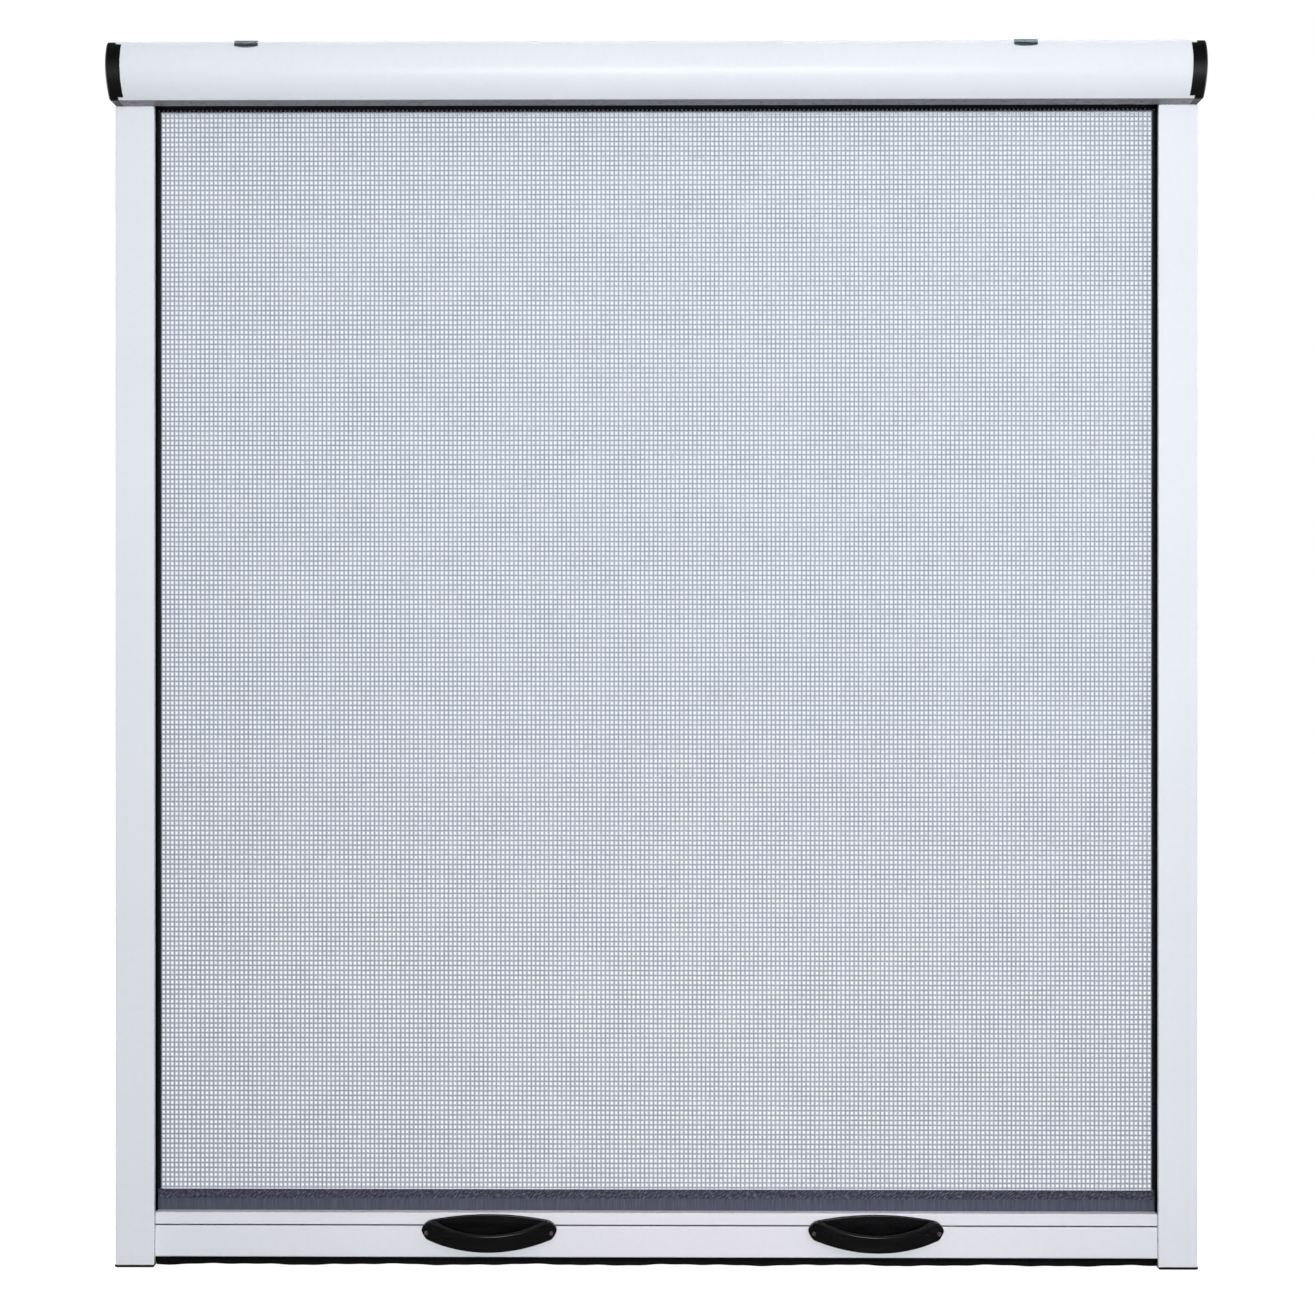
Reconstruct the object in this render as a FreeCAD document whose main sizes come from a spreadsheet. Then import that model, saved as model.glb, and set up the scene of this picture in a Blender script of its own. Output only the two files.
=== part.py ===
import FreeCAD, Part
import Sketcher
import math
import os

# Roller insect screen for a window, shown closed.
# A spring roller in a cassette winds the mesh up. The bottom bar slides in two guide rails.
# X runs to the right, Y to the back and Z up.
# The origin is the bottom centre, in the plane of the guides' faces.
# Lengths are in millimetres.

document = FreeCAD.newDocument("roller_insect_screen")

sizes = {
    # whole screen
    "overall_width": 800.0,
    "overall_height": 900.0,
    "fit_gap": 0.15,
    "running_gap": 0.05,
    "soft_gap": 0.3,
    # guide rails
    "guide_width": 29.0,
    "guide_depth": 22.0,
    "guide_wall": 1.3,
    "guide_corner": 2.0,
    "channel_depth": 16.4,
    "fixing_hole_radius": 2.1,
    "access_hole_radius": 4.5,
    "fixing_hole_height": 120.0,
    "fixing_hole_drop": 119.3,
    # brush strips and the undercut slots that hold them
    "slot_rib": 0.7,
    "slot_lip": 0.4,
    "slot_lip_thickness": 0.7,
    "backing_width": 4.2,
    "backing_thickness": 0.9,
    "backing_gap": 0.1,
    "pile_width": 3.4,
    # feet
    "foot_thickness": 2.2,
    "foot_chamfer": 1.0,
    "foot_plug_height": 15.0,
    "foot_plug_wall": 1.8,
    "catch_width": 4.0,
    "catch_thickness": 3.0,
    "catch_height": 8.0,
    "catch_barb": 0.5,
    # cassette
    "cassette_height": 40.7,
    "cassette_wall": 1.3,
    "panel_radius": 32.9,
    "panel_reach": 21.35,
    "panel_crown": 23.9,
    "panel_foot": 0.3,
    "top_lip_height": 1.5,
    "top_lip_proud": 0.35,
    "top_lip_width": 1.6,
    "recess_depth": 2.4,
    "rear_notch_depth": 1.0,
    "rear_notch_height": 4.6,
    "under_lip_reach": 8.0,
    "under_lip_back": 0.6,
    "brush_slot_back": 1.0,
    # end caps
    "cap_flange": 6.8,
    "cap_skirt": 3.8,
    "cap_proud": 0.9,
    "skirt_thickness": 0.6,
    "skirt_rise": 1.8,
    "cap_chamfer": 1.1,
    "cap_insert": 6.5,
    "cap_insert_wall": 1.8,
    "cap_boss_width": 12.0,
    "cap_boss_length": 4.9,
    "spigot_height": 14.0,
    "spigot_wall": 1.8,
    # spring clips
    "clip_thickness": 0.8,
    "clip_width": 17.0,
    "clip_left_inset": 102.0,
    "clip_right_inset": 131.0,
    "clip_hook_height": 4.6,
    "clip_hook_curve": 1.3,
    "clip_rear_drop": 4.0,
    "clip_hole_radius": 2.2,
    "clip_hole_setback": 2.0,
    # roller
    "roller_rise": 21.1,
    "tube_radius": 9.5,
    "tube_wall": 0.9,
    "tube_end_gap": 8.7,
    "roll_radius": 10.15,
    "plug_flange": 2.4,
    "plug_flange_radius": 11.4,
    "plug_depth": 14.0,
    "shaft_square": 6.0,
    "journal_radius": 4.5,
    "shaft_radius": 3.0,
    "spring_length": 240.0,
    "spring_inner_radius": 3.6,
    "spring_outer_radius": 5.6,
    "anchor_length": 12.0,
    "pin_radius": 3.0,
    "pin_length": 14.0,
    # mesh
    "mesh_end_gap": 1.5,
    "mesh_thickness": 0.3,
    "thread_height": 0.08,
    "thread_width": 1.2,
    "gap_side": 8.0,
    "band_rise": 15.5,
    "band_thickness": 0.5,
    # bottom bar
    "bar_rest_height": 7.0,
    "bar_height": 32.7,
    "bar_setback": 4.0,
    "bar_thickness": 14.0,
    "bar_wall": 1.2,
    "bar_end_gap": 0.7,
    "bar_bevel": 0.7,
    "groove_rise": 23.2,
    "groove_height": 1.1,
    "groove_depth": 3.2,
    "lower_face_proud": 0.5,
    "lower_face_bevel": 0.9,
    "notch_length": 4.2,
    "notch_height": 1.5,
    "spline_radius": 2.4,
    "spline_gap": 0.4,
    "spline_depth": 3.9,
    "band_slot": 1.4,
    "bar_brush_clearance": 0.4,
    # plugs at the bar's ends
    "plug_insert": 14.0,
    "tongue_thickness": 2.0,
    "tongue_length": 4.8,
    "shoe_thickness": 10.0,
    "shoe_end_gap": 0.6,
    "shoe_seat_gap": 0.2,
    "shoe_top_drop": 1.7,
    # handles
    "handle_left_inset": 277.0,
    "handle_right_inset": 237.0,
    "handle_half_length": 50.0,
    "handle_shoulder": 42.5,
    "handle_reach": 17.0,
    "handle_top_drop": 0.3,
    "handle_shoulder_drop": 4.0,
    "handle_tip_drop": 11.1,
    "handle_heel_drop": 17.9,
    "handle_heel_inset": 4.0,
    "handle_bottom_drop": 23.3,
    "handle_rear_wall": 2.2,
    "handle_front_wall": 2.2,
    "handle_floor": 2.6,
    "handle_lip_height": 12.1,
    "handle_lip_slope": 31.0,
    "handle_pocket_half": 40.0,
    "handle_end_thickness": 3.0,
}

sheet = document.addObject("Spreadsheet::Sheet", "Sizes")
for row, (name, value) in enumerate(sizes.items(), 1):
    sheet.set(f"A{row}", name)
    sheet.set(f"B{row}", str(value))
    sheet.setAlias(f"B{row}", name)
document.recompute()


class Size:
    """A length that is written as an expression on the sheet, with its present value."""

    def __init__(self, text, value):
        self.text = text
        self.value = value

    def joined(self, sign, other, value):
        return Size(f"({self.text} {sign} {other.text})", value)

    def __add__(self, other):
        other = as_size(other)
        return self.joined("+", other, self.value + other.value)

    def __sub__(self, other):
        other = as_size(other)
        return self.joined("-", other, self.value - other.value)

    def __mul__(self, other):
        other = as_size(other)
        return self.joined("*", other, self.value * other.value)

    def __truediv__(self, other):
        other = as_size(other)
        return self.joined("/", other, self.value / other.value)

    def __radd__(self, other):
        return as_size(other) + self

    def __rsub__(self, other):
        return as_size(other) - self

    def __rmul__(self, other):
        return as_size(other) * self

    def __neg__(self):
        return Size(f"(0 - {self.text})", -self.value)


def as_size(number):
    return number if isinstance(number, Size) else Size(str(number), float(number))


def root(size):
    return Size(f"sqrt({size.text})", math.sqrt(size.value))


def slope(angle):
    return Size(f"tan({angle.text} * 1 deg)", math.tan(math.radians(angle.value)))


def cell(name):
    return Size(f"Sizes.{name}", float(sheet.get(name)))


# Sketches, pads and pockets

def origin_plane(body, role):
    return [feature for feature in body.Origin.OriginFeatures if feature.Role == role][0]


def add_constraint(sketch, size, kind, *points):
    index = sketch.addConstraint(Sketcher.Constraint(kind, *points, size.value))
    sketch.setExpression(f"Constraints[{index}]", size.text)


def arc_through(start, end, radius, side):
    """An arc from start to end that bulges to the right of the way there, or to the left if side is -1."""
    along = end - start
    half = along.Length / 2
    sagitta = radius - math.sqrt(max(radius * radius - half * half, 0.0))
    outward = FreeCAD.Vector(along.y, -along.x, 0).normalize() * side * sagitta
    return Part.Arc(start, start + along / 2 + outward, end)


def add_loop(sketch, corners):
    """A closed loop of corners: (across, up), or (across, up, radius, side) before an arc."""
    places = [FreeCAD.Vector(as_size(c[0]).value, as_size(c[1]).value, 0) for c in corners]
    ends = []
    for index, corner in enumerate(corners):
        start = places[index]
        end = places[(index + 1) % len(places)]
        if len(corner) == 2:
            edge = sketch.addGeometry(Part.LineSegment(start, end))
            ends.append((edge, 1, 2))
            continue
        radius, side = corner[2:]
        edge = sketch.addGeometry(arc_through(start, end, radius.value, side))
        swapped = sketch.getPoint(edge, 1).distanceToPoint(start) > 1e-6
        ends.append((edge, 2, 1) if swapped else (edge, 1, 2))
    for index, corner in enumerate(corners):
        edge, first, last = ends[index]
        next_edge, next_first, _ = ends[(index + 1) % len(ends)]
        sketch.addConstraint(Sketcher.Constraint("Coincident", edge, last, next_edge, next_first))
        add_constraint(sketch, as_size(corner[0]), "DistanceX", -1, 1, edge, first)
        add_constraint(sketch, as_size(corner[1]), "DistanceY", -1, 1, edge, first)
        if len(corner) > 2:
            add_constraint(sketch, corner[2], "Radius", edge)


def add_circle(sketch, across, up, radius):
    across, up = as_size(across), as_size(up)
    centre = FreeCAD.Vector(across.value, up.value, 0)
    edge = sketch.addGeometry(Part.Circle(centre, FreeCAD.Vector(0, 0, 1), radius.value))
    add_constraint(sketch, across, "DistanceX", -1, 1, edge, 3)
    add_constraint(sketch, up, "DistanceY", -1, 1, edge, 3)
    add_constraint(sketch, radius, "Radius", edge)


def draw(body, role, loops, offset, name):
    sketch = body.newObject("Sketcher::SketchObject", name)
    sketch.AttachmentSupport = [(origin_plane(body, role), "")]
    sketch.MapMode = "FlatFace"
    sketch.setExpression("AttachmentOffset.Base.z", as_size(offset).text)
    for loop in loops:
        if isinstance(loop, tuple):
            add_circle(sketch, *loop)
        else:
            add_loop(sketch, loop)
    return sketch


def prism(body, role, low, high, *loops, cut=False):
    """Adds or cuts the loops' area between two planes across X, Y or Z. A loop is a list of corners, or
    a (across, up, radius) circle."""
    low, high = as_size(low), as_size(high)
    # the XZ plane looks along -Y, so its offset counts from the high side
    offset = -high if role == "XZ_Plane" else low
    name = f"{body.Name}_{'cut' if cut else 'form'}_{len(body.Group)}"
    sketch = draw(body, role, loops, offset, f"{name}_sketch")
    feature = body.newObject("PartDesign::Pocket" if cut else "PartDesign::Pad", name)
    feature.Profile = sketch
    feature.Type = "Length"
    feature.setExpression("Length", (high - low).text)
    feature.Reversed = cut
    if cut:
        document.recompute()
        before = feature.BaseFeature.Shape.Volume
        if feature.Shape.Volume > before - 1e-6:
            raise ValueError(f"{name} cuts nothing")
    return feature


def new_body(name):
    body = document.addObject("PartDesign::Body", name)
    body.Label = name
    pieces.append(body)
    return body


def new_shape(name, shape):
    """A piece whose shape comes straight from Part's own functions."""
    feature = document.addObject("Part::Feature", name)
    feature.Label = name
    feature.Shape = shape
    pieces.append(feature)
    return feature


def box_loop(low_across, high_across, low_up, high_up):
    return [
        (low_across, low_up),
        (high_across, low_up),
        (high_across, high_up),
        (low_across, high_up),
    ]


def sided(side, inner, outer):
    """The low and high X of something between two distances from the middle, on one side."""
    return (inner, outer) if side > 0 else (-outer, -inner)


pieces = []
SIDES = (("left", -1), ("right", 1))

fit_gap = cell("fit_gap")
running_gap = cell("running_gap")
soft_gap = cell("soft_gap")

# Places that several pieces share

half_width = cell("overall_width") / 2
guide_inner = half_width - cell("guide_width")
guide_depth = cell("guide_depth")
guide_wall = cell("guide_wall")
channel_wall = guide_inner + cell("channel_depth")
back_plane = guide_depth
mesh_plane = guide_depth / 2
cassette_top = cell("overall_height")
cassette_bottom = cassette_top - cell("cassette_height")
cassette_end = half_width - cell("cap_flange")
foot_top = cell("foot_thickness")

slot_width = cell("backing_width") + 2 * cell("backing_gap")
slot_depth = cell("backing_thickness") + 2 * cell("backing_gap")
slot_rib = cell("slot_rib")
slot_lip = cell("slot_lip")
lip_thickness = cell("slot_lip_thickness")
pile_width = cell("pile_width")

bar_bottom = cell("bar_rest_height")
bar_top = bar_bottom + cell("bar_height")
bar_front = cell("bar_setback")
bar_back = bar_front + cell("bar_thickness")
bar_end = guide_inner + cell("bar_end_gap")


# Guide rails: an open channel for the mesh, and a closed chamber for the cap's spigot and the foot's plug

slot_start = guide_inner + slot_rib
slot_end = slot_start + slot_width
slot_foot = guide_wall + slot_depth
slot_face = slot_foot + lip_thickness


def brush_slot(side):
    """The corners of the front flange's brush slot, from the guide's mouth inwards."""
    return [
        (side * guide_inner, slot_face),
        (side * (slot_start + slot_lip), slot_face),
        (side * (slot_start + slot_lip), slot_foot),
        (side * slot_start, slot_foot),
        (side * slot_start, guide_wall),
        (side * slot_end, guide_wall),
        (side * slot_end, slot_foot),
        (side * (slot_end - slot_lip), slot_foot),
        (side * (slot_end - slot_lip), slot_face),
        (side * (slot_end + slot_rib), slot_face),
        (side * (slot_end + slot_rib), guide_wall),
    ]


for word, side in SIDES:
    guide = new_body(f"guide_{word}")
    corner = cell("guide_corner")
    front_slot = brush_slot(side)
    rear_slot = [(across, guide_depth - depth) for across, depth in reversed(front_slot)]
    profile = [
        (side * half_width, corner, corner, -side),
        (side * (half_width - corner), 0),
        (side * guide_inner, 0),
        *front_slot,
        (side * channel_wall, guide_wall),
        (side * channel_wall, guide_depth - guide_wall),
        *rear_slot,
        (side * guide_inner, guide_depth),
        (side * half_width, guide_depth),
    ]
    chamber_low, chamber_high = sided(side, channel_wall + guide_wall, half_width - guide_wall)
    chamber = box_loop(chamber_low, chamber_high, guide_wall, guide_depth - guide_wall)
    prism(guide, "XY_Plane", foot_top, cassette_bottom, profile, chamber)
    heights = (cell("fixing_hole_height"), cassette_bottom - cell("fixing_hole_drop"))
    fixing = [(mesh_plane, height, cell("fixing_hole_radius")) for height in heights]
    access = [(mesh_plane, height, cell("access_hole_radius")) for height in heights]
    prism(guide, "YZ_Plane", *sided(side, half_width - guide_wall, half_width), *fixing, cut=True)
    prism(guide, "YZ_Plane", *sided(side, channel_wall, channel_wall + guide_wall), *access, cut=True)


# Brush strips in the guides: a backing in the slot and a pile that ends beside the mesh

tongue_front = mesh_plane - cell("tongue_thickness") / 2
pile_middle = (slot_start + slot_end) / 2

for word, side in SIDES:
    for face in ("front", "rear"):
        brush = new_body(f"guide_brush_{word}_{face}")
        backing_x = sided(
            side,
            pile_middle - cell("backing_width") / 2,
            pile_middle + cell("backing_width") / 2,
        )
        pile_x = sided(side, pile_middle - pile_width / 2, pile_middle + pile_width / 2)
        root_y = guide_wall + cell("backing_gap")
        bend_y = root_y + cell("backing_thickness")
        tip_y = tongue_front - soft_gap
        strip = [
            (backing_x[0], root_y),
            (backing_x[1], root_y),
            (backing_x[1], bend_y),
            (pile_x[1], bend_y),
            (pile_x[1], tip_y),
            (pile_x[0], tip_y),
            (pile_x[0], bend_y),
            (backing_x[0], bend_y),
        ]
        if face == "rear":
            strip = [(across, guide_depth - depth) for across, depth in strip][::-1]
        prism(brush, "XY_Plane", foot_top, cassette_bottom, strip)


# Feet: a plate under each guide, a plug in its chamber and a catch for the bar's shoe

shoe_inner = bar_end + cell("tongue_length")
shoe_outer = channel_wall - cell("shoe_end_gap")
catch_middle = (shoe_inner + shoe_outer) / 2

for word, side in SIDES:
    foot = new_body(f"guide_foot_{word}")
    chamfer = cell("foot_chamfer")
    low, high = sided(side, guide_inner, half_width)
    prism(foot, "XY_Plane", chamfer, foot_top, box_loop(low, high, 0, guide_depth))
    lower = draw(
        foot,
        "XY_Plane",
        [box_loop(low + chamfer, high - chamfer, chamfer, guide_depth - chamfer)],
        0,
        f"{foot.Name}_sole",
    )
    upper = draw(foot, "XY_Plane", [box_loop(low, high, 0, guide_depth)], chamfer, f"{foot.Name}_rim")
    sole = foot.newObject("PartDesign::AdditiveLoft", f"{foot.Name}_sole_loft")
    sole.Profile = lower
    sole.Sections = [upper]
    low, high = sided(
        side,
        channel_wall + guide_wall + fit_gap,
        half_width - guide_wall - fit_gap,
    )
    wall = cell("foot_plug_wall")
    plug_front = guide_wall + fit_gap
    plug_top = foot_top + cell("foot_plug_height")
    prism(
        foot,
        "XY_Plane",
        foot_top,
        plug_top,
        box_loop(low, high, plug_front, guide_depth - plug_front),
        box_loop(low + wall, high - wall, plug_front + wall, guide_depth - plug_front - wall),
    )
    half = cell("catch_width") / 2
    thick = cell("catch_thickness") / 2
    barb = cell("catch_barb")
    catch_top = foot_top + cell("catch_height")
    low, high = sided(side, catch_middle - half, catch_middle + half)
    hook = [
        (mesh_plane - thick, foot_top),
        (mesh_plane + thick, foot_top),
        (mesh_plane + thick, catch_top - 4 * barb),
        (mesh_plane + thick + barb, catch_top - 2 * barb),
        (mesh_plane + thick, catch_top),
        (mesh_plane - thick, catch_top),
        (mesh_plane - thick - barb, catch_top - 2 * barb),
        (mesh_plane - thick, catch_top - 4 * barb),
    ]
    prism(foot, "YZ_Plane", low, high, hook)


# Cassette: one extrusion with a bowed front panel, open below at the back for the mesh

panel_radius = cell("panel_radius")
panel_reach = cell("panel_reach")
panel_centre = cassette_bottom + cell("panel_crown")
cassette_wall = cell("cassette_wall")


def panel_face(height, outward):
    """Where the bowed panel's face is at a height, or a face that lies further out by some distance."""
    radius = panel_radius + outward
    rise = height - panel_centre
    return panel_radius - panel_reach - root(radius * radius - rise * rise)


panel_low = cassette_bottom + cell("panel_foot")
panel_high = cassette_top - cell("top_lip_height")
lip_front = panel_face(panel_high, 0) - cell("top_lip_proud")
lip_inner = panel_face(panel_high, 0) + cell("top_lip_width")
recess_floor = cassette_top - cell("recess_depth")
ceiling = recess_floor - cassette_wall
rear_face = back_plane - cell("rear_notch_depth")
rear_lip_inner = rear_face - cell("top_lip_width")
rear_step = cassette_top - cell("rear_notch_height")
inner_low = cassette_bottom + cell("panel_foot") + cassette_wall
under_back = -cell("under_lip_back")
cassette_slot_low = cassette_bottom + slot_rib
cassette_slot_high = cassette_slot_low + slot_width
slot_mouth_back = under_back - lip_thickness
slot_bed = slot_mouth_back - slot_depth
slot_block = slot_bed - cell("brush_slot_back")

cassette = new_body("cassette")
cassette_profile = [
    (-cell("under_lip_reach"), cassette_bottom),
    (under_back, cassette_bottom),
    (under_back, cassette_slot_low + slot_lip),
    (slot_mouth_back, cassette_slot_low + slot_lip),
    (slot_mouth_back, cassette_slot_low),
    (slot_bed, cassette_slot_low),
    (slot_bed, cassette_slot_high),
    (slot_mouth_back, cassette_slot_high),
    (slot_mouth_back, cassette_slot_high - slot_lip),
    (under_back, cassette_slot_high - slot_lip),
    (under_back, cassette_slot_high + slot_rib),
    (slot_block, cassette_slot_high + slot_rib),
    (slot_block, cassette_bottom + cassette_wall),
    (-cell("under_lip_reach") + cassette_wall / 2, cassette_bottom + cassette_wall),
    (panel_face(inner_low, -cassette_wall), inner_low, panel_radius - cassette_wall, -1),
    (panel_face(ceiling, -cassette_wall), ceiling),
    (rear_face - cassette_wall, ceiling),
    (rear_face - cassette_wall, rear_step - cassette_wall),
    (back_plane - cassette_wall, rear_step - cassette_wall),
    (back_plane - cassette_wall, cassette_bottom),
    (back_plane, cassette_bottom),
    (back_plane, rear_step),
    (rear_face, rear_step),
    (rear_face, cassette_top),
    (rear_lip_inner, cassette_top),
    (rear_lip_inner, recess_floor),
    (lip_inner, recess_floor),
    (lip_inner, cassette_top),
    (lip_front, cassette_top),
    (lip_front, panel_high),
    (panel_face(panel_high, 0), panel_high, panel_radius, 1),
    (panel_face(panel_low, 0), panel_low),
]
prism(cassette, "YZ_Plane", -cassette_end, cassette_end, cassette_profile)

cassette_brush = new_body("cassette_brush")
backing_low = cassette_slot_low + cell("backing_gap")
pile_low = (cassette_slot_low + cassette_slot_high) / 2 - pile_width / 2
backing_back = slot_bed + cell("backing_gap")
pile_start = backing_back + cell("backing_thickness")
pile_tip = mesh_plane - cell("mesh_thickness") / 2 - soft_gap
strip = [
    (backing_back, backing_low),
    (pile_start, backing_low),
    (pile_start, pile_low),
    (pile_tip, pile_low),
    (pile_tip, pile_low + pile_width),
    (pile_start, pile_low + pile_width),
    (pile_start, backing_low + cell("backing_width")),
    (backing_back, backing_low + cell("backing_width")),
]
prism(cassette_brush, "YZ_Plane", -guide_inner, guide_inner, strip)


# End caps: a flange, a skirt over the panel, an insert in the cassette and a spigot in the guide

roller_height = cassette_bottom + cell("roller_rise")
roller_depth = mesh_plane - cell("mesh_thickness") / 2 - soft_gap - cell("roll_radius")
cap_proud = cell("cap_proud")
insert_low = cassette_slot_high + slot_rib + fit_gap
insert_high = ceiling - fit_gap
boss_end = cassette_end - cell("cap_boss_length")


def cap_insert(low, high, inset):
    """The outline of the cassette's inside between two heights, set in from the panel and the back."""
    return [
        (panel_face(low, -inset), low, panel_radius - inset, -1),
        (panel_face(high, -inset), high),
        (rear_face - inset, high),
        (rear_face - inset, low),
    ]


for word, side in SIDES:
    cap = new_body(f"end_cap_{word}")
    flange_low = cassette_bottom + cap_proud / 2
    flange_high = cassette_top - cap_proud
    flange = [
        (panel_face(flange_low, cap_proud), flange_low),
        (panel_face(flange_low, cap_proud) + cap_proud, cassette_bottom),
        (back_plane, cassette_bottom),
        (back_plane, cassette_top),
        (panel_face(flange_high, cap_proud) + cap_proud, cassette_top),
        (panel_face(flange_high, cap_proud), flange_high, panel_radius + cap_proud, 1),
    ]
    prism(cap, "YZ_Plane", *sided(side, cassette_end, half_width), flange)
    document.recompute()
    plate = cap.Tip
    rim = [
        f"Edge{number}"
        for number, edge in enumerate(plate.Shape.Edges, 1)
        if all(abs(vertex.X - side * half_width.value) < 1e-6 for vertex in edge.Vertexes)
    ]
    bevel = cap.newObject("PartDesign::Chamfer", f"{cap.Name}_bevel")
    bevel.Base = (plate, rim)
    bevel.setExpression("Size", cell("cap_chamfer").text)
    skirt_low = panel_low + cell("skirt_rise")
    skirt_high = panel_high - fit_gap
    skirt_out = cell("skirt_thickness") + running_gap
    skirt = [
        (panel_face(skirt_low, skirt_out), skirt_low),
        (panel_face(skirt_low, running_gap), skirt_low, panel_radius + running_gap, -1),
        (panel_face(skirt_high, running_gap), skirt_high),
        (panel_face(skirt_high, skirt_out), skirt_high, panel_radius + skirt_out, 1),
    ]
    prism(cap, "YZ_Plane", *sided(side, cassette_end - cell("cap_skirt"), cassette_end), skirt)
    insert = cap_insert(insert_low, insert_high, cassette_wall + fit_gap)
    wall = cell("cap_insert_wall")
    hollow = cap_insert(insert_low + wall, insert_high - wall, cassette_wall + fit_gap + wall)
    prism(cap, "YZ_Plane", *sided(side, cassette_end - cell("cap_insert"), cassette_end), insert, hollow)
    half_boss = cell("cap_boss_width") / 2
    boss = box_loop(
        roller_depth - half_boss,
        roller_depth + half_boss,
        roller_height - half_boss,
        roller_height + half_boss,
    )
    if side < 0:
        socket = cell("shaft_square") / 2 + running_gap
        seat = box_loop(
            roller_depth - socket, roller_depth + socket, roller_height - socket, roller_height + socket
        )
    else:
        seat = (roller_depth, roller_height, cell("pin_radius") + running_gap)
    prism(cap, "YZ_Plane", *sided(side, boss_end, cassette_end), boss, seat)
    low, high = sided(side, channel_wall + guide_wall + fit_gap, half_width - guide_wall - fit_gap)
    wall = cell("spigot_wall")
    spigot_front = guide_wall + fit_gap
    spigot_bottom = cassette_bottom - cell("spigot_height")
    prism(
        cap,
        "XY_Plane",
        spigot_bottom,
        cassette_bottom,
        box_loop(low, high, spigot_front, guide_depth - spigot_front),
        box_loop(low + wall, high - wall, spigot_front + wall, guide_depth - spigot_front - wall),
    )


# Spring clips: bent strips that grip the cassette's top lips, with a hole for the screw into the lintel

clip_thickness = cell("clip_thickness")
clip_top = cassette_top + clip_thickness
hook_end = cassette_top - cell("clip_hook_height")
hook_bend = panel_high
hook_inner = lip_front - fit_gap
hook_outer = hook_inner - clip_thickness
rear_inner = rear_face + running_gap
rear_outer = rear_inner + clip_thickness
rear_end = cassette_top - cell("clip_rear_drop")
clip_hole_y = cell("clip_hole_setback")

for word, side in SIDES:
    clip = new_body(f"clip_{word}")
    place = side * (half_width - cell(f"clip_{word}_inset"))
    half = cell("clip_width") / 2
    bent_strip = [
        (panel_face(hook_end, fit_gap), hook_end),
        (hook_inner, hook_bend),
        (hook_inner, cassette_top),
        (rear_inner, cassette_top),
        (rear_inner, rear_end),
        (rear_outer, rear_end),
        (rear_outer, cassette_top),
        (rear_outer - clip_thickness / 2, clip_top),
        (hook_inner, clip_top, clip_thickness, -1),
        (hook_outer, cassette_top),
        (hook_outer, hook_bend),
        (panel_face(hook_end, fit_gap + clip_thickness), hook_end + clip_thickness / 2),
    ]
    prism(clip, "YZ_Plane", place - half, place + half, bent_strip)
    edge = half + running_gap
    curve = cell("clip_hook_curve")
    curve_radius = edge * edge / (2 * curve) + curve / 2
    trim = [
        (place - edge, hook_end - curve),
        (place + edge, hook_end - curve),
        (place + edge, hook_end + curve, curve_radius, -1),
        (place - edge, hook_end + curve),
    ]
    prism(clip, "XZ_Plane", -panel_reach - clip_thickness, lip_front, trim, cut=True)
    hole = (place, clip_hole_y, cell("clip_hole_radius"))
    prism(clip, "XY_Plane", cassette_top, clip_top, hole, cut=True)


# Roller: a tube with a plug at each end, the spring and its shaft inside, and the wound turns of mesh

tube_end = cassette_end - cell("tube_end_gap")
tube_radius = cell("tube_radius")
tube_bore = tube_radius - cell("tube_wall")
plug_radius = tube_bore - running_gap
plug_face = tube_end + cell("plug_flange")
journal_radius = cell("journal_radius")
shaft_radius = cell("shaft_radius")
anchor_outer = tube_end - cell("plug_depth") - cell("spring_length")
anchor_inner = anchor_outer - cell("anchor_length")


def ring(radius):
    return (roller_depth, roller_height, as_size(radius))


roller_tube = new_body("roller_tube")
prism(roller_tube, "YZ_Plane", -tube_end, tube_end, ring(tube_radius), ring(tube_bore))

for word, side in SIDES:
    plug = new_body(f"roller_plug_{word}")
    bore = (journal_radius if side < 0 else cell("pin_radius")) + running_gap
    prism(plug, "YZ_Plane", *sided(side, tube_end, plug_face), ring(cell("plug_flange_radius")), ring(bore))
    plug_x = sided(side, tube_end - cell("plug_depth"), tube_end)
    prism(plug, "YZ_Plane", *plug_x, ring(plug_radius), ring(bore))

idle_pin = new_body("idle_pin")
pin_inner = tube_end + cell("plug_flange") - cell("pin_length")
prism(idle_pin, "YZ_Plane", pin_inner, cassette_end, ring(cell("pin_radius")))

spring_shaft = new_body("spring_shaft")
half_square = cell("shaft_square") / 2
prism(
    spring_shaft,
    "YZ_Plane",
    -cassette_end,
    -boss_end,
    box_loop(
        roller_depth - half_square, roller_depth + half_square,
        roller_height - half_square, roller_height + half_square,
    ),
)
prism(spring_shaft, "YZ_Plane", -boss_end, -(tube_end - cell("plug_depth")), ring(journal_radius))
prism(spring_shaft, "YZ_Plane", -(tube_end - cell("plug_depth")), -anchor_inner, ring(shaft_radius))

torsion_spring = new_body("torsion_spring")
prism(
    torsion_spring,
    "YZ_Plane",
    -(tube_end - cell("plug_depth") - soft_gap),
    -(anchor_outer + soft_gap),
    ring(cell("spring_outer_radius")),
    ring(cell("spring_inner_radius")),
)

spring_anchor = new_body("spring_anchor")
prism(
    spring_anchor,
    "YZ_Plane",
    -anchor_outer,
    -anchor_inner,
    ring(plug_radius),
    ring(shaft_radius + running_gap),
)

mesh_half = tube_end - cell("mesh_end_gap")
mesh_roll = new_body("mesh_roll")
prism(
    mesh_roll,
    "YZ_Plane",
    -mesh_half,
    mesh_half,
    ring(cell("roll_radius")),
    ring(tube_radius + running_gap),
)


# Bottom bar: a hollow extrusion with a groove in its face, a round channel on top and a brush slot below

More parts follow.
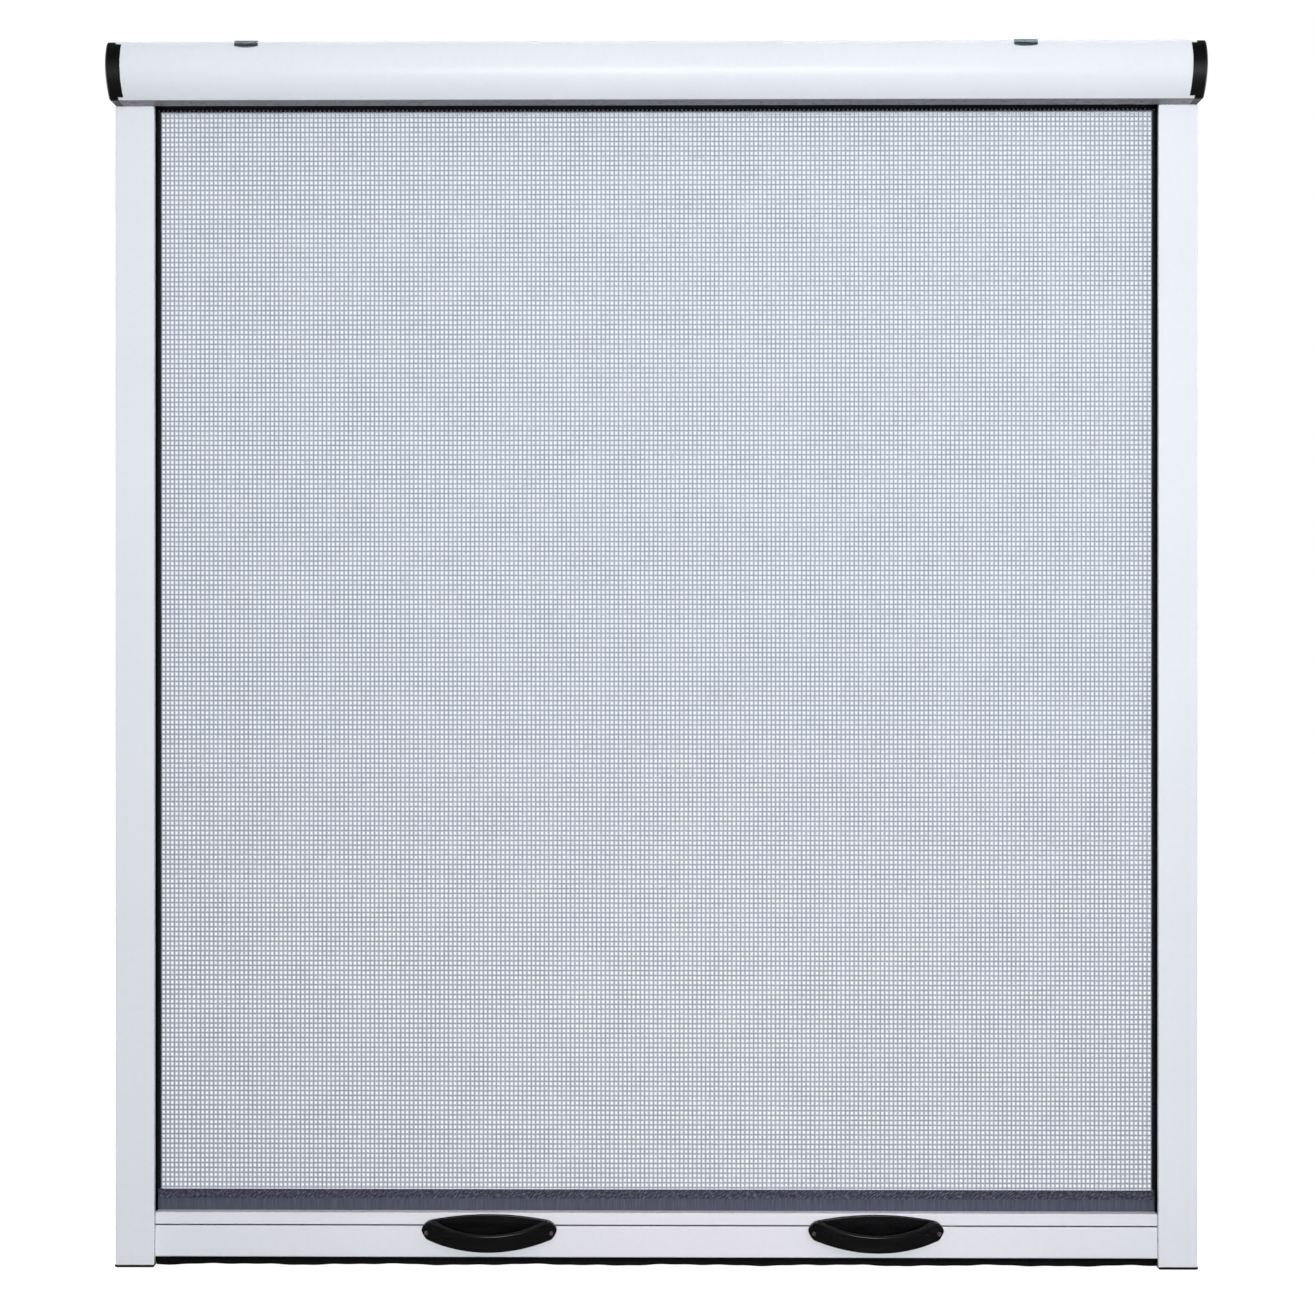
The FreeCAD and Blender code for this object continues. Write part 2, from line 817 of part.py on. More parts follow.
bar_bevel = cell("bar_bevel")
bar_wall = cell("bar_wall")
lower_front = bar_front - cell("lower_face_proud")
groove_low = bar_bottom + cell("groove_rise")
groove_high = groove_low + cell("groove_height")
groove_bed = bar_front + cell("groove_depth")
spline_height = bar_top - cell("spline_depth")
spline_bore = cell("spline_radius") + cell("spline_gap")
half_slot = cell("band_slot") / 2
spline_mouth = spline_height + root(spline_bore * spline_bore - half_slot * half_slot)
brush_cavity = slot_width / 2
brush_mouth = brush_cavity - slot_lip
brush_lip_top = bar_bottom + lip_thickness
brush_bed = brush_lip_top + slot_depth
chamber_floor = brush_bed + bar_wall
chamber_roof = groove_low - bar_wall
chamber_front = lower_front + bar_wall
chamber_back = bar_back - bar_wall

bottom_bar = new_body("bottom_bar")
bar_profile = [
    (lower_front + bar_bevel, bar_bottom),
    (mesh_plane - brush_mouth, bar_bottom),
    (mesh_plane - brush_mouth, brush_lip_top),
    (mesh_plane - brush_cavity, brush_lip_top),
    (mesh_plane - brush_cavity, brush_bed),
    (mesh_plane + brush_cavity, brush_bed),
    (mesh_plane + brush_cavity, brush_lip_top),
    (mesh_plane + brush_mouth, brush_lip_top),
    (mesh_plane + brush_mouth, bar_bottom),
    (bar_back - bar_bevel, bar_bottom),
    (bar_back, bar_bottom + bar_bevel),
    (bar_back, bar_top - bar_bevel),
    (bar_back - bar_bevel, bar_top),
    (mesh_plane + half_slot, bar_top),
    (mesh_plane + half_slot, spline_mouth),
    (mesh_plane - half_slot, spline_mouth),
    (mesh_plane - half_slot, bar_top),
    (bar_front + bar_bevel, bar_top),
    (bar_front, bar_top - bar_bevel),
    (bar_front, groove_high),
    (groove_bed, groove_high),
    (groove_bed, groove_low),
    (lower_front + cell("lower_face_bevel"), groove_low),
    (lower_front, groove_low - cell("lower_face_bevel")),
    (lower_front, bar_bottom + bar_bevel),
]
lower_chamber = box_loop(chamber_front, chamber_back, chamber_floor, chamber_roof)
rear_chamber = box_loop(
    mesh_plane + spline_bore + bar_wall,
    chamber_back,
    groove_low,
    bar_top - bar_wall,
)
front_chamber = box_loop(
    bar_front + bar_wall,
    mesh_plane - spline_bore - bar_wall / 2,
    groove_high + bar_wall,
    bar_top - bar_wall,
)
prism(
    bottom_bar, "YZ_Plane", -bar_end, bar_end, bar_profile, lower_chamber, rear_chamber, front_chamber
)
prism(bottom_bar, "YZ_Plane", -bar_end, bar_end, (mesh_plane, spline_height, spline_bore), cut=True)
for word, side in SIDES:
    notch = [
        (side * bar_end, groove_low - cell("notch_height")),
        (side * bar_end, groove_low),
        (side * (bar_end - cell("notch_length")), groove_low),
    ]
    prism(bottom_bar, "XZ_Plane", lower_front, lower_front + cell("lower_face_bevel"), notch, cut=True)

bar_brush = new_body("bar_brush")
backing_half = cell("backing_width") / 2
backing_low = brush_lip_top + cell("backing_gap")
brush_strip = [
    (mesh_plane - pile_width / 2, cell("bar_brush_clearance")),
    (mesh_plane + pile_width / 2, cell("bar_brush_clearance")),
    (mesh_plane + pile_width / 2, backing_low),
    (mesh_plane + backing_half, backing_low),
    (mesh_plane + backing_half, backing_low + cell("backing_thickness")),
    (mesh_plane - backing_half, backing_low + cell("backing_thickness")),
    (mesh_plane - backing_half, backing_low),
    (mesh_plane - pile_width / 2, backing_low),
]
prism(bar_brush, "YZ_Plane", -(guide_inner - soft_gap), guide_inner - soft_gap, brush_strip)

band_spline = new_body("band_spline")
prism(
    band_spline, "YZ_Plane", -bar_end, bar_end, (mesh_plane, spline_height, cell("spline_radius"))
)

mesh_band = new_body("mesh_band")
band_half = cell("band_thickness") / 2
band_bottom = spline_height + cell("spline_radius") + running_gap
band_top = bar_top + cell("band_rise")
prism(
    mesh_band,
    "YZ_Plane",
    -mesh_half,
    mesh_half,
    box_loop(mesh_plane - band_half, mesh_plane + band_half, bar_top + running_gap, band_top),
)
prism(
    mesh_band,
    "YZ_Plane",
    -bar_end,
    bar_end,
    box_loop(mesh_plane - band_half, mesh_plane + band_half, band_bottom, bar_top + running_gap),
)


# Plugs at the bar's ends: an insert, a thin tongue between the brushes and a shoe that the catch enters

for word, side in SIDES:
    plug = new_body(f"bar_plug_{word}")
    insert = box_loop(
        chamber_front + fit_gap, chamber_back - fit_gap, chamber_floor + fit_gap, chamber_roof - fit_gap
    )
    prism(plug, "YZ_Plane", *sided(side, bar_end - cell("plug_insert"), bar_end), insert)
    tongue = box_loop(
        tongue_front,
        tongue_front + cell("tongue_thickness"),
        chamber_floor + fit_gap,
        chamber_roof - fit_gap,
    )
    prism(plug, "YZ_Plane", *sided(side, bar_end, shoe_inner), tongue)
    shoe_half = cell("shoe_thickness") / 2
    shoe_bottom = foot_top + cell("shoe_seat_gap")
    shoe_top = bar_top - cell("shoe_top_drop")
    low, high = sided(side, shoe_inner, shoe_outer)
    shoe = box_loop(mesh_plane - shoe_half, mesh_plane + shoe_half, shoe_bottom, shoe_top)
    prism(plug, "YZ_Plane", low, high, shoe)
    pocket_half = cell("catch_width") / 2 + soft_gap
    pocket_thick = cell("catch_thickness") / 2 + cell("catch_barb") + soft_gap
    pocket = box_loop(
        side * catch_middle - pocket_half,
        side * catch_middle + pocket_half,
        mesh_plane - pocket_thick,
        mesh_plane + pocket_thick,
    )
    pocket_top = catch_top + soft_gap
    prism(plug, "XY_Plane", shoe_bottom, pocket_top, pocket, cut=True)


# Handles: scoops on the bar's face, with a pocket open at the top for the fingers

handle_top = bar_top - cell("handle_top_drop")
shoulder_height = handle_top - cell("handle_shoulder_drop")
tip_height = handle_top - cell("handle_tip_drop")
heel_height = handle_top - cell("handle_heel_drop")
handle_bottom = handle_top - cell("handle_bottom_drop")
handle_half = cell("handle_half_length")
shoulder = cell("handle_shoulder")
heel = handle_half - cell("handle_heel_inset")
handle_front = lower_front - cell("handle_reach")
handle_back = lower_front
bow_start = handle_back - cell("handle_end_thickness")


def arc_radius(half_chord, sagitta):
    return half_chord * half_chord / (2 * sagitta) + sagitta / 2


def distance(across, up):
    return root(across * across + up * up)


top_radius = arc_radius(shoulder, handle_top - shoulder_height)
bottom_radius = arc_radius(heel, heel_height - handle_bottom)
tip_radius = distance(handle_half - shoulder, shoulder_height - tip_height) * 0.85
heel_radius = distance(handle_half - heel, tip_height - heel_height) * 1.3
bow_radius = arc_radius(handle_half, bow_start - handle_front)
pocket_back = handle_back - cell("handle_rear_wall")
pocket_front = handle_front + cell("handle_front_wall")
pocket_half = cell("handle_pocket_half")
pocket_radius = arc_radius(pocket_half, pocket_back - pocket_front)
pocket_floor = handle_bottom + cell("handle_floor")
lip_height = handle_bottom + cell("handle_lip_height")
lip_rise = (pocket_back - handle_front) * slope(cell("handle_lip_slope"))

for word, side in SIDES:
    handle = new_body(f"handle_{word}")
    place = side * (half_width - cell(f"handle_{word}_inset"))
    face = [
        (place - shoulder, shoulder_height, tip_radius, 1),
        (place - handle_half, tip_height, heel_radius, 1),
        (place - heel, heel_height, bottom_radius, 1),
        (place + heel, heel_height, heel_radius, 1),
        (place + handle_half, tip_height, tip_radius, 1),
        (place + shoulder, shoulder_height, top_radius, 1),
    ]
    prism(handle, "XZ_Plane", handle_front, handle_back, face)
    bow = [
        (place - handle_half, bow_start, bow_radius, 1),
        (place + handle_half, bow_start),
        (place + handle_half, handle_front - 1),
        (place - handle_half, handle_front - 1),
    ]
    prism(handle, "XY_Plane", handle_bottom, handle_top, bow, cut=True)
    lip = [
        (handle_front, lip_height),
        (pocket_back, lip_height + lip_rise),
        (pocket_back, handle_top + 1),
        (handle_front, handle_top + 1),
    ]
    prism(handle, "YZ_Plane", place - handle_half, place + handle_half, lip, cut=True)
    pocket = [
        (place - pocket_half, pocket_back, pocket_radius, 1),
        (place + pocket_half, pocket_back),
    ]
    prism(handle, "XY_Plane", pocket_floor, handle_top, pocket, cut=True)


# Mesh: one thin wall with upright threads raised on its front, level threads on its back, and open gaps

gap_columns = 10
gap_rows = 10
threads_per_column = 6
threads_per_row = 6


def comb(low, high, count, near, far, along):
    """A cross-section of the wall with evenly spaced threads raised from near to far."""
    pitch = (high - low) / count
    half_thread = cell("thread_width").value / 2
    points = [(low, -along), (low, near)]
    for number in range(count):
        middle = low + pitch * (number + 0.5)
        points += [
            (middle - half_thread, near),
            (middle - half_thread, far),
            (middle + half_thread, far),
            (middle + half_thread, near),
        ]
    return points + [(high, near), (high, -along)]


mesh_low = (band_top + soft_gap).value
mesh_high = roller_height.value
mesh_side = mesh_half.value
thread = cell("thread_height").value
wall_half = cell("mesh_thickness").value / 2 - thread
plane_y = mesh_plane.value
columns = gap_columns * threads_per_column
rows = gap_rows * threads_per_row
front_comb = comb(-mesh_side, mesh_side, columns, -wall_half, -wall_half - thread, -1)
back_comb = comb(mesh_low, mesh_high, rows, wall_half, wall_half + thread, 1)
upright_points = [FreeCAD.Vector(across, plane_y + depth, mesh_low) for across, depth in front_comb]
level_points = [FreeCAD.Vector(-mesh_side, plane_y + depth, height) for height, depth in back_comb]
upright_face = Part.Face(Part.makePolygon(upright_points + upright_points[:1]))
level_face = Part.Face(Part.makePolygon(level_points + level_points[:1]))
upright = upright_face.extrude(FreeCAD.Vector(0, 0, mesh_high - mesh_low))
level = level_face.extrude(FreeCAD.Vector(2 * mesh_side, 0, 0))
wall = upright.common(level)
gap_side = cell("gap_side").value
column_pitch = 2 * mesh_side / gap_columns
row_pitch = (mesh_high - mesh_low) / gap_rows
gaps = []
for column in range(gap_columns):
    for line in range(gap_rows):
        across = -mesh_side + column_pitch * (column + 0.5) - gap_side / 2
        height = mesh_low + row_pitch * (line + 0.5) - gap_side / 2
        corner = FreeCAD.Vector(across, plane_y - 1, height)
        gaps.append(Part.makeBox(gap_side, 2, gap_side, corner))
new_shape("screen_mesh", wall.cut(Part.makeCompound(gaps)))


# Check every object, then write one file for each piece

document.recompute()
for item in document.Objects:
    if "Invalid" in item.State or "Error" in item.State:
        raise ValueError(f"{item.Name} failed: {item.State}")
os.makedirs("parts", exist_ok=True)
for piece in pieces:
    shape = piece.Shape
    if shape.isNull() or not shape.isValid():
        raise ValueError(f"{piece.Label} has no valid shape")
    shape.exportStep(f"parts/{piece.Label}.step")
    box = shape.BoundBox
    print(
        f"{piece.Label}: {len(shape.Solids)} solid, {shape.Volume:.0f} mm3,"
        f" x {box.XMin:.2f} {box.XMax:.2f}, y {box.YMin:.2f} {box.YMax:.2f}, z {box.ZMin:.2f} {box.ZMax:.2f}"
    )
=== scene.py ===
import math

import bmesh
import bpy
import numpy as np
from mathutils import Euler, Matrix, Vector


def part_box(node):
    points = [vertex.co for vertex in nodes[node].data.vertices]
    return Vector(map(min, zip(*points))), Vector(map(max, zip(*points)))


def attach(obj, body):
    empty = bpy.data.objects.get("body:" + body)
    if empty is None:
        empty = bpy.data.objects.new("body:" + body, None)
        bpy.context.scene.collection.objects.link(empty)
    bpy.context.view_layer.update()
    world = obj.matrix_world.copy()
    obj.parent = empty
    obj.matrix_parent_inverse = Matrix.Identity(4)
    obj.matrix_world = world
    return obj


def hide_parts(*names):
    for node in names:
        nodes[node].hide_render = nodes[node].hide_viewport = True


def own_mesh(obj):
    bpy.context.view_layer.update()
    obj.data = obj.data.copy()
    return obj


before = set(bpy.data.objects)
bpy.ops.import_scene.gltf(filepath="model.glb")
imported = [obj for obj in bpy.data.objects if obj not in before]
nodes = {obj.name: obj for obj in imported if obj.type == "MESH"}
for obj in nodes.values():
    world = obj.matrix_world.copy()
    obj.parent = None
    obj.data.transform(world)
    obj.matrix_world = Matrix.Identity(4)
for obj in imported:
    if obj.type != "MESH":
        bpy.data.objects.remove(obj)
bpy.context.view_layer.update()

mm = 0.001
sides = (("left", -1), ("right", 1))


def linear(hexColour):
    # sRGB hex to the linear values that Blender's sockets take
    parts = [int(hexColour[i:i + 2], 16) / 255 for i in (1, 3, 5)]
    values = [c / 12.92 if c <= 0.04045 else ((c + 0.055) / 1.055) ** 2.4 for c in parts]
    return (*values, 1.0)


def addNode(tree, kind, settings=None, inputs=None, links=None):
    # settings: node properties, inputs: socket values, links: socket -> (node, output)
    node = tree.nodes.new(kind)
    for name, value in (settings or {}).items():
        setattr(node, name, value)
    for name, value in (inputs or {}).items():
        node.inputs[name].default_value = value
    for name, (source, output) in (links or {}).items():
        tree.links.new(source.outputs[output], node.inputs[name])
    return node


def mathNode(tree, operation, links, inputs=None):
    return addNode(tree, "ShaderNodeMath", {"operation": operation}, inputs, links)


def vectorNode(tree, operation, links, inputs=None):
    return addNode(tree, "ShaderNodeVectorMath", {"operation": operation}, inputs, links)


def newMaterial(name, surface):
    # a Principled surface, its tree and its shader node
    material = bpy.data.materials.new(name)
    material.use_nodes = True
    tree = material.node_tree
    tree.nodes.clear()
    shader = addNode(tree, "ShaderNodeBsdfPrincipled", inputs=surface)
    addNode(tree, "ShaderNodeOutputMaterial", links={"Surface": (shader, "BSDF")})
    return material, tree, shader


def ramp(tree, source, output, stops):
    # stops: (position, hex colour)
    node = addNode(tree, "ShaderNodeValToRGB", links={"Fac": (source, output)})
    points = node.color_ramp.elements
    while len(points) < len(stops):
        points.new(0.5)
    for point, (position, colour) in zip(points, stops):
        point.position = position
        point.color = linear(colour)
    return node


def remap(tree, source, output, low, high, toLow, toHigh):
    return addNode(tree, "ShaderNodeMapRange", inputs={
        "From Min": low, "From Max": high, "To Min": toLow, "To Max": toHigh,
    }, links={"Value": (source, output)})


def objectPlace(tree, scale=(1, 1, 1)):
    place = addNode(tree, "ShaderNodeTexCoord")
    return addNode(tree, "ShaderNodeMapping", inputs={"Scale": scale},
                   links={"Vector": (place, "Object")})


def splitAxes(tree, place, output="Vector"):
    return addNode(tree, "ShaderNodeSeparateXYZ", links={"Vector": (place, output)})


def noise(tree, place, grain, detail):
    # grain: the size of one patch, in millimetres
    return addNode(tree, "ShaderNodeTexNoise", inputs={
        "Scale": 1000 / grain, "Detail": detail,
    }, links={"Vector": (place, "Vector")})


def bands(tree, place, pitch, direction="X", distortion=0.0):
    # pitch: from one band to the next, in millimetres; a wave texture has 10 / pi bands to its unit
    return addNode(tree, "ShaderNodeTexWave", {"bands_direction": direction},
                   {"Scale": 1000 / pitch * math.pi / 10, "Distortion": distortion},
                   {"Vector": (place, "Vector")})


def baseTone(tree, shader, texture, stops):
    # the surface's colour, from a ramp over a texture
    tone = ramp(tree, texture, "Fac", stops)
    tree.links.new(tone.outputs["Color"], shader.inputs["Base Color"])
    return tone


def overlay(tree, shader, tone, share, hexColour):
    # a second colour over the tone where the share is 1; 0, 6 and 7: the mix's factor and colours
    mixed = addNode(tree, "ShaderNodeMix", {"data_type": "RGBA"}, {7: linear(hexColour)},
                    {0: (share, 0), 6: (tone, "Color")})
    tree.links.new(mixed.outputs[2], shader.inputs["Base Color"])


def dullness(tree, shader, texture, low, high, toLow, toHigh):
    # the roughness, from a texture's range
    dull = remap(tree, texture, "Fac", low, high, toLow, toHigh)
    tree.links.new(dull.outputs["Result"], shader.inputs["Roughness"])


def bump(tree, shader, texture, depth, strength):
    # depth: how far the texture's full range stands out, in millimetres
    node = addNode(tree, "ShaderNodeBump", inputs={"Strength": strength, "Distance": depth * mm},
                   links={"Height": (texture, "Fac")})
    tree.links.new(node.outputs["Normal"], shader.inputs["Normal"])


def linkObject(name, data):
    made = bpy.data.objects.new(name, data)
    bpy.context.scene.collection.objects.link(made)
    return made


def meshPiece(name, points, faces, material, smooth=True):
    # points in millimetres
    mesh = bpy.data.meshes.new(name)
    metres = (np.asarray(points, float) * mm).tolist()
    mesh.from_pydata(metres, [], [list(map(int, face)) for face in faces])
    mesh.validate()
    mesh.polygons.foreach_set("use_smooth", [smooth] * len(mesh.polygons))
    if material:
        mesh.materials.append(material)
    return linkObject(name, mesh)


def tubeFaces(rings, around, first=0):
    # quads between closed rings of points, and a cap at either end
    faces = []
    for i in range(rings - 1):
        for k in range(around):
            a, b = first + i * around + k, first + i * around + (k + 1) % around
            faces.append((a, b, b + around, a + around))
    last = first + (rings - 1) * around
    faces.append([first + k for k in range(around)][::-1])
    faces.append([last + k for k in range(around)])
    return faces


def settle(piece, body, slotName, *replaced):
    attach(piece, body)
    if replaced:
        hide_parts(*replaced)


def joinPieces(name, parts):
    # one mesh from several, each with its own material
    whole = bmesh.new()
    materials = []
    for part in parts:
        offset = len(materials)
        start = len(whole.faces)
        whole.from_mesh(part.data)
        whole.faces.ensure_lookup_table()
        for face in whole.faces[start:]:
            face.material_index += offset
        materials += list(part.data.materials)
        bpy.data.objects.remove(part)
    mesh = bpy.data.meshes.new(name)
    whole.to_mesh(mesh)
    whole.free()
    for material in materials:
        mesh.materials.append(material)
    return linkObject(name, mesh)


def paint(material, *names):
    for name in names:
        slots = nodes[name].data.materials
        if not slots:
            slots.append(material)
        for i in range(len(slots)):
            slots[i] = material


cameraView = {
    "place": (8.49, -1200.0, 452.31),   # mm, about 1.2 m in front of the screen
    "yaw": 0.335, "pitch": -0.031, "roll": -0.009,   # degrees, from the photograph's leaning edges
    "lens": 44.489, "sensor": 36.0,
    "nearest": 0.05, "farthest": 50,   # m
}

studio = {
    "backdrop": "#FFFFFF", "walls": "#FFFBFD",
    "roomBehind": 0.62, "roomFront": 0.22,   # what shades the object: bright behind, dim in front
    "glossFront": 0.04,   # the dim side of the room as gloss shows it
    # along Y, from the camera's side to behind the object
    "roomFall": (-0.4, 0.5), "glossFall": (-0.3, 0.1), "floorFall": (-0.02, 0.4),
    "lamps": (
        # name, place, aim, width, height, watts, spread in degrees, colour
        ("key", (0.1, -3.0, 0.9), (0.16, 0.0, 0.76), 1.3, 0.5, 22.9, 100, "#F4F9FD"),
        ("low", (0.06, -1.7, 0.35), (0.0, 0.0, 0.5), 0.8, 0.3, 1.4, 180, "#FFF4FA"),
        ("warm", (0.05, -1.5, 1.0), (0.03, 0.0, 0.0), 0.5, 0.12, 0.11, 28, "#FFD6DF"),
        ("side", (1.75, -1.3, 0.9), (0.1, 0.0, 0.5), 0.5, 0.8, 3.0, 180, "#FAFBFF"),
        # behind the front's plane: they light the back, the sides and the top
        ("back", (-0.5, 1.9, 1.25), (0.0, 0.0, 0.5), 1.1, 0.5, 15.0, 180, "#FFFDFB"),
        ("backLeft", (-2.1, 0.25, 0.8), (-0.4, 0.01, 0.45), 0.6, 0.9, 9.0, 180, "#FFFDFB"),
        ("backRight", (2.1, 0.25, 0.8), (0.4, 0.01, 0.45), 0.6, 0.9, 9.0, 180, "#FFFDFB"),
        ("top", (0.0, 0.5, 2.5), (0.0, 0.0, 0.9), 1.2, 0.4, 7.0, 180, "#FFFDFB"),
    ),
    "floorGlow": 0.95, "floorGloss": 0.06,
    "floorSpan": ((-6000, -4000), (6000, 6000)),   # mm, its near left and far right corners
}


def makeCamera():
    data = bpy.data.cameras.new("photoView")
    data.lens = cameraView["lens"]
    data.sensor_width = cameraView["sensor"]
    data.clip_start, data.clip_end = cameraView["nearest"], cameraView["farthest"]
    camera = linkObject("photoView", data)
    turned = (Matrix.Rotation(math.radians(cameraView["yaw"]), 3, "Z")
              @ Matrix.Rotation(math.radians(cameraView["pitch"]), 3, "X")
              @ Matrix.Rotation(math.radians(cameraView["roll"]), 3, "Y"))
    level = Matrix(((1, 0, 0), (0, 0, -1), (0, 1, 0)))   # looks along +Y, up along +Z
    place = Matrix.Translation(Vector(cameraView["place"]) * mm)
    camera.matrix_world = place @ (turned @ level).to_4x4()
    bpy.context.scene.camera = camera


def seenDirectly(tree):
    # 1 where a ray comes from the lens, a gloss or a glass, and 0 for the light that shades things
    path = addNode(tree, "ShaderNodeLightPath")
    first = mathNode(tree, "MAXIMUM", {0: (path, "Is Camera Ray"), 1: (path, "Is Glossy Ray")})
    both = mathNode(tree, "MAXIMUM", {0: (first, 0), 1: (path, "Is Transmission Ray")})
    return path, both


def makeWorld():
    world = bpy.data.worlds.new("room")
    bpy.context.scene.world = world
    world.use_nodes = True
    tree = world.node_tree
    tree.nodes.clear()
    axis = splitAxes(tree, addNode(tree, "ShaderNodeTexCoord"), "Generated")
    shade = remap(tree, axis, "Y", *studio["roomFall"], studio["roomFront"], studio["roomBehind"])
    walls = addNode(tree, "ShaderNodeBackground", inputs={"Color": linear(studio["walls"])},
                    links={"Strength": (shade, "Result")})
    # the backdrop stands behind the object, and the room falls darker on the camera's side
    falling = remap(tree, axis, "Y", *studio["glossFall"], studio["glossFront"], 1.0)
    path, direct = seenDirectly(tree)
    lens = mathNode(tree, "MAXIMUM", {0: (falling, "Result"), 1: (path, "Is Camera Ray")})
    backdrop = addNode(tree, "ShaderNodeBackground", inputs={"Color": linear(studio["backdrop"])},
                       links={"Strength": (lens, 0)})
    mixed = addNode(tree, "ShaderNodeMixShader",
                    links={"Fac": (direct, 0), 1: (walls, 0), 2: (backdrop, 0)})
    addNode(tree, "ShaderNodeOutputWorld", links={"Surface": (mixed, 0)})


def makeLamps():
    for name, place, aim, width, height, watts, spread, colour in studio["lamps"]:
        data = bpy.data.lights.new(name, "AREA")
        data.shape = "RECTANGLE"
        data.size, data.size_y = width, height
        data.energy, data.spread = watts, math.radians(spread)
        data.color = linear(colour)[:3]
        lamp = linkObject(name, data)
        lamp.location = place
        lamp.rotation_euler = (Vector(aim) - Vector(place)).to_track_quat("-Z", "Y").to_euler()


def makeFloor():
    # matt white card: lit as the object is, to keep its shadow, and glowing a little to the lens
    material, tree, shader = newMaterial("whiteCard", {
        "Roughness": 0.9, "Specular IOR Level": 0.1, "Emission Color": linear("#FFFFFF"),
    })
    path, direct = seenDirectly(tree)
    axis = splitAxes(tree, addNode(tree, "ShaderNodeTexCoord"), "Object")
    falling = remap(tree, axis, "Y", *studio["floorFall"], studio["floorGloss"], 1.0)
    lens = mathNode(tree, "MAXIMUM", {0: (falling, "Result"), 1: (path, "Is Camera Ray")})
    seen = mathNode(tree, "MULTIPLY", {0: (direct, 0), 1: (lens, 0)})
    glow = mathNode(tree, "MULTIPLY", {0: (seen, 0)}, {1: studio["floorGlow"]})
    tree.links.new(glow.outputs[0], shader.inputs["Emission Strength"])
    grain = noise(tree, objectPlace(tree), 40, 4)
    baseTone(tree, shader, grain, ((0.3, "#6C6C6D"), (0.7, "#707070")))
    (left, front), (right, back) = studio["floorSpan"]
    corners = [(left, front, 0), (right, front, 0), (right, back, 0), (left, back, 0)]
    floor = meshPiece("floor", corners, [(0, 1, 2, 3)], material, smooth=False)


bpy.context.scene.view_settings.view_transform = "Standard"
makeCamera()
makeWorld()
makeLamps()
makeFloor()
print("scene: camera, room, lamps and floor")


# painted shade, a grey in the coat under the cassette's front lip and in the bar's groove: (least,
# most) in millimetres, along Y and Z
paintedShadePlaces = {
    "frontLip": ((-30, -1), (859, 859.9)),   # painted shade under the cassette's front lip
    "barGroove": ((4.3, 7.3), (30.1, 31.35)),
}


def powderCoat(name, shadedPlace=None, shadeTone="#99959B"):
    # polyester powder coat on extruded aluminium: satin white, a fine orange peel in its gloss
    material, tree, shader = newMaterial(name, {
        "Roughness": 0.3, "IOR": 1.5, "Specular IOR Level": 0.12,
    })
    place = objectPlace(tree)
    cloud = noise(tree, place, 160, 2)   # the coat's thickness drifts along a length
    tone = baseTone(tree, shader, cloud, ((0.3, "#E9EAEE"), (0.7, "#EDEEF2")))
    speck = noise(tree, place, 5, 3)   # faint handling marks
    dullness(tree, shader, speck, 0.35, 0.75, 0.26, 0.34)
    peel = noise(tree, place, 2.2, 2)   # orange peel, about 1 to 2 mm across
    bump(tree, shader, peel, 0.01, 0.2)
    # painted shade: a darker grey mixed into the coat's colour at the given place
    if shadedPlace:
        axis = splitAxes(tree, place)
        within = [mathNode(tree, "COMPARE", {0: (axis, word)},
                           {1: (least + most) / 2 * mm, 2: (most - least) / 2 * mm})
                  for word, (least, most) in zip("YZ", paintedShadePlaces[shadedPlace])]
        share = mathNode(tree, "MULTIPLY", {0: (within[0], 0), 1: (within[1], 0)})
        overlay(tree, shader, tone, share, shadeTone)
    return material


def blackPlastic(name, gloss, tint="#060607"):
    # glass-filled nylon, injection moulded: near black, with a spark-eroded grain
    material, tree, shader = newMaterial(name, {
        "IOR": 1.52, "Specular IOR Level": 0.24, "Roughness": gloss,
    })
    place = objectPlace(tree)
    flow = noise(tree, objectPlace(tree, (0.25, 1, 1)), 9, 3)   # melt flow, drawn out along X
    baseTone(tree, shader, flow, ((0.3, tint), (0.75, "#0C0C0E")))
    dullness(tree, shader, flow, 0.3, 0.8, gloss - 0.04, gloss + 0.06)
    grain = noise(tree, place, 0.9, 2)   # grain of about 0.3 mm, drawn at 0.9 mm to show
    bump(tree, shader, grain, 0.03, 0.5)
    return material


def brushPile():
    # nylon pile: black bristles with a dull shine along them
    material, tree, shader = newMaterial("blackNylonPile", {
        "Roughness": 0.6, "IOR": 1.53, "Specular IOR Level": 0.04,
    })
    tuft = noise(tree, objectPlace(tree), 2.5, 3)
    baseTone(tree, shader, tuft, ((0.3, "#050505"), (0.7, "#0F0F10")))
    return material


def pileBacking():
    # woven polypropylene backing of the pile
    material, tree, shader = newMaterial("blackWovenBacking", {
        "Roughness": 0.75, "Specular IOR Level": 0.2,
    })
    rib = bands(tree, objectPlace(tree), 0.8, "DIAGONAL", 0.6)   # a thread each 0.8 mm
    baseTone(tree, shader, rib, ((0.2, "#050505"), (0.8, "#0E0E0F")))
    bump(tree, shader, rib, 0.1, 0.6)
    return material


def zincSteel():
    # spring steel strip, zinc plated and passivated: grey with a blue cast, rolled along its length
    material, tree, shader = newMaterial("zincPlatedSpringSteel", {
        "Metallic": 1.0, "Roughness": 0.32,
    })
    rolled = noise(tree, objectPlace(tree, (0.3, 0.06, 1)), 0.7, 4)
    baseTone(tree, shader, rolled, ((0.25, "#84939B"), (0.75, "#9DACB3")))
    dullness(tree, shader, rolled, 0.3, 0.7, 0.26, 0.42)
    bump(tree, shader, rolled, 0.01, 0.3)
    return material


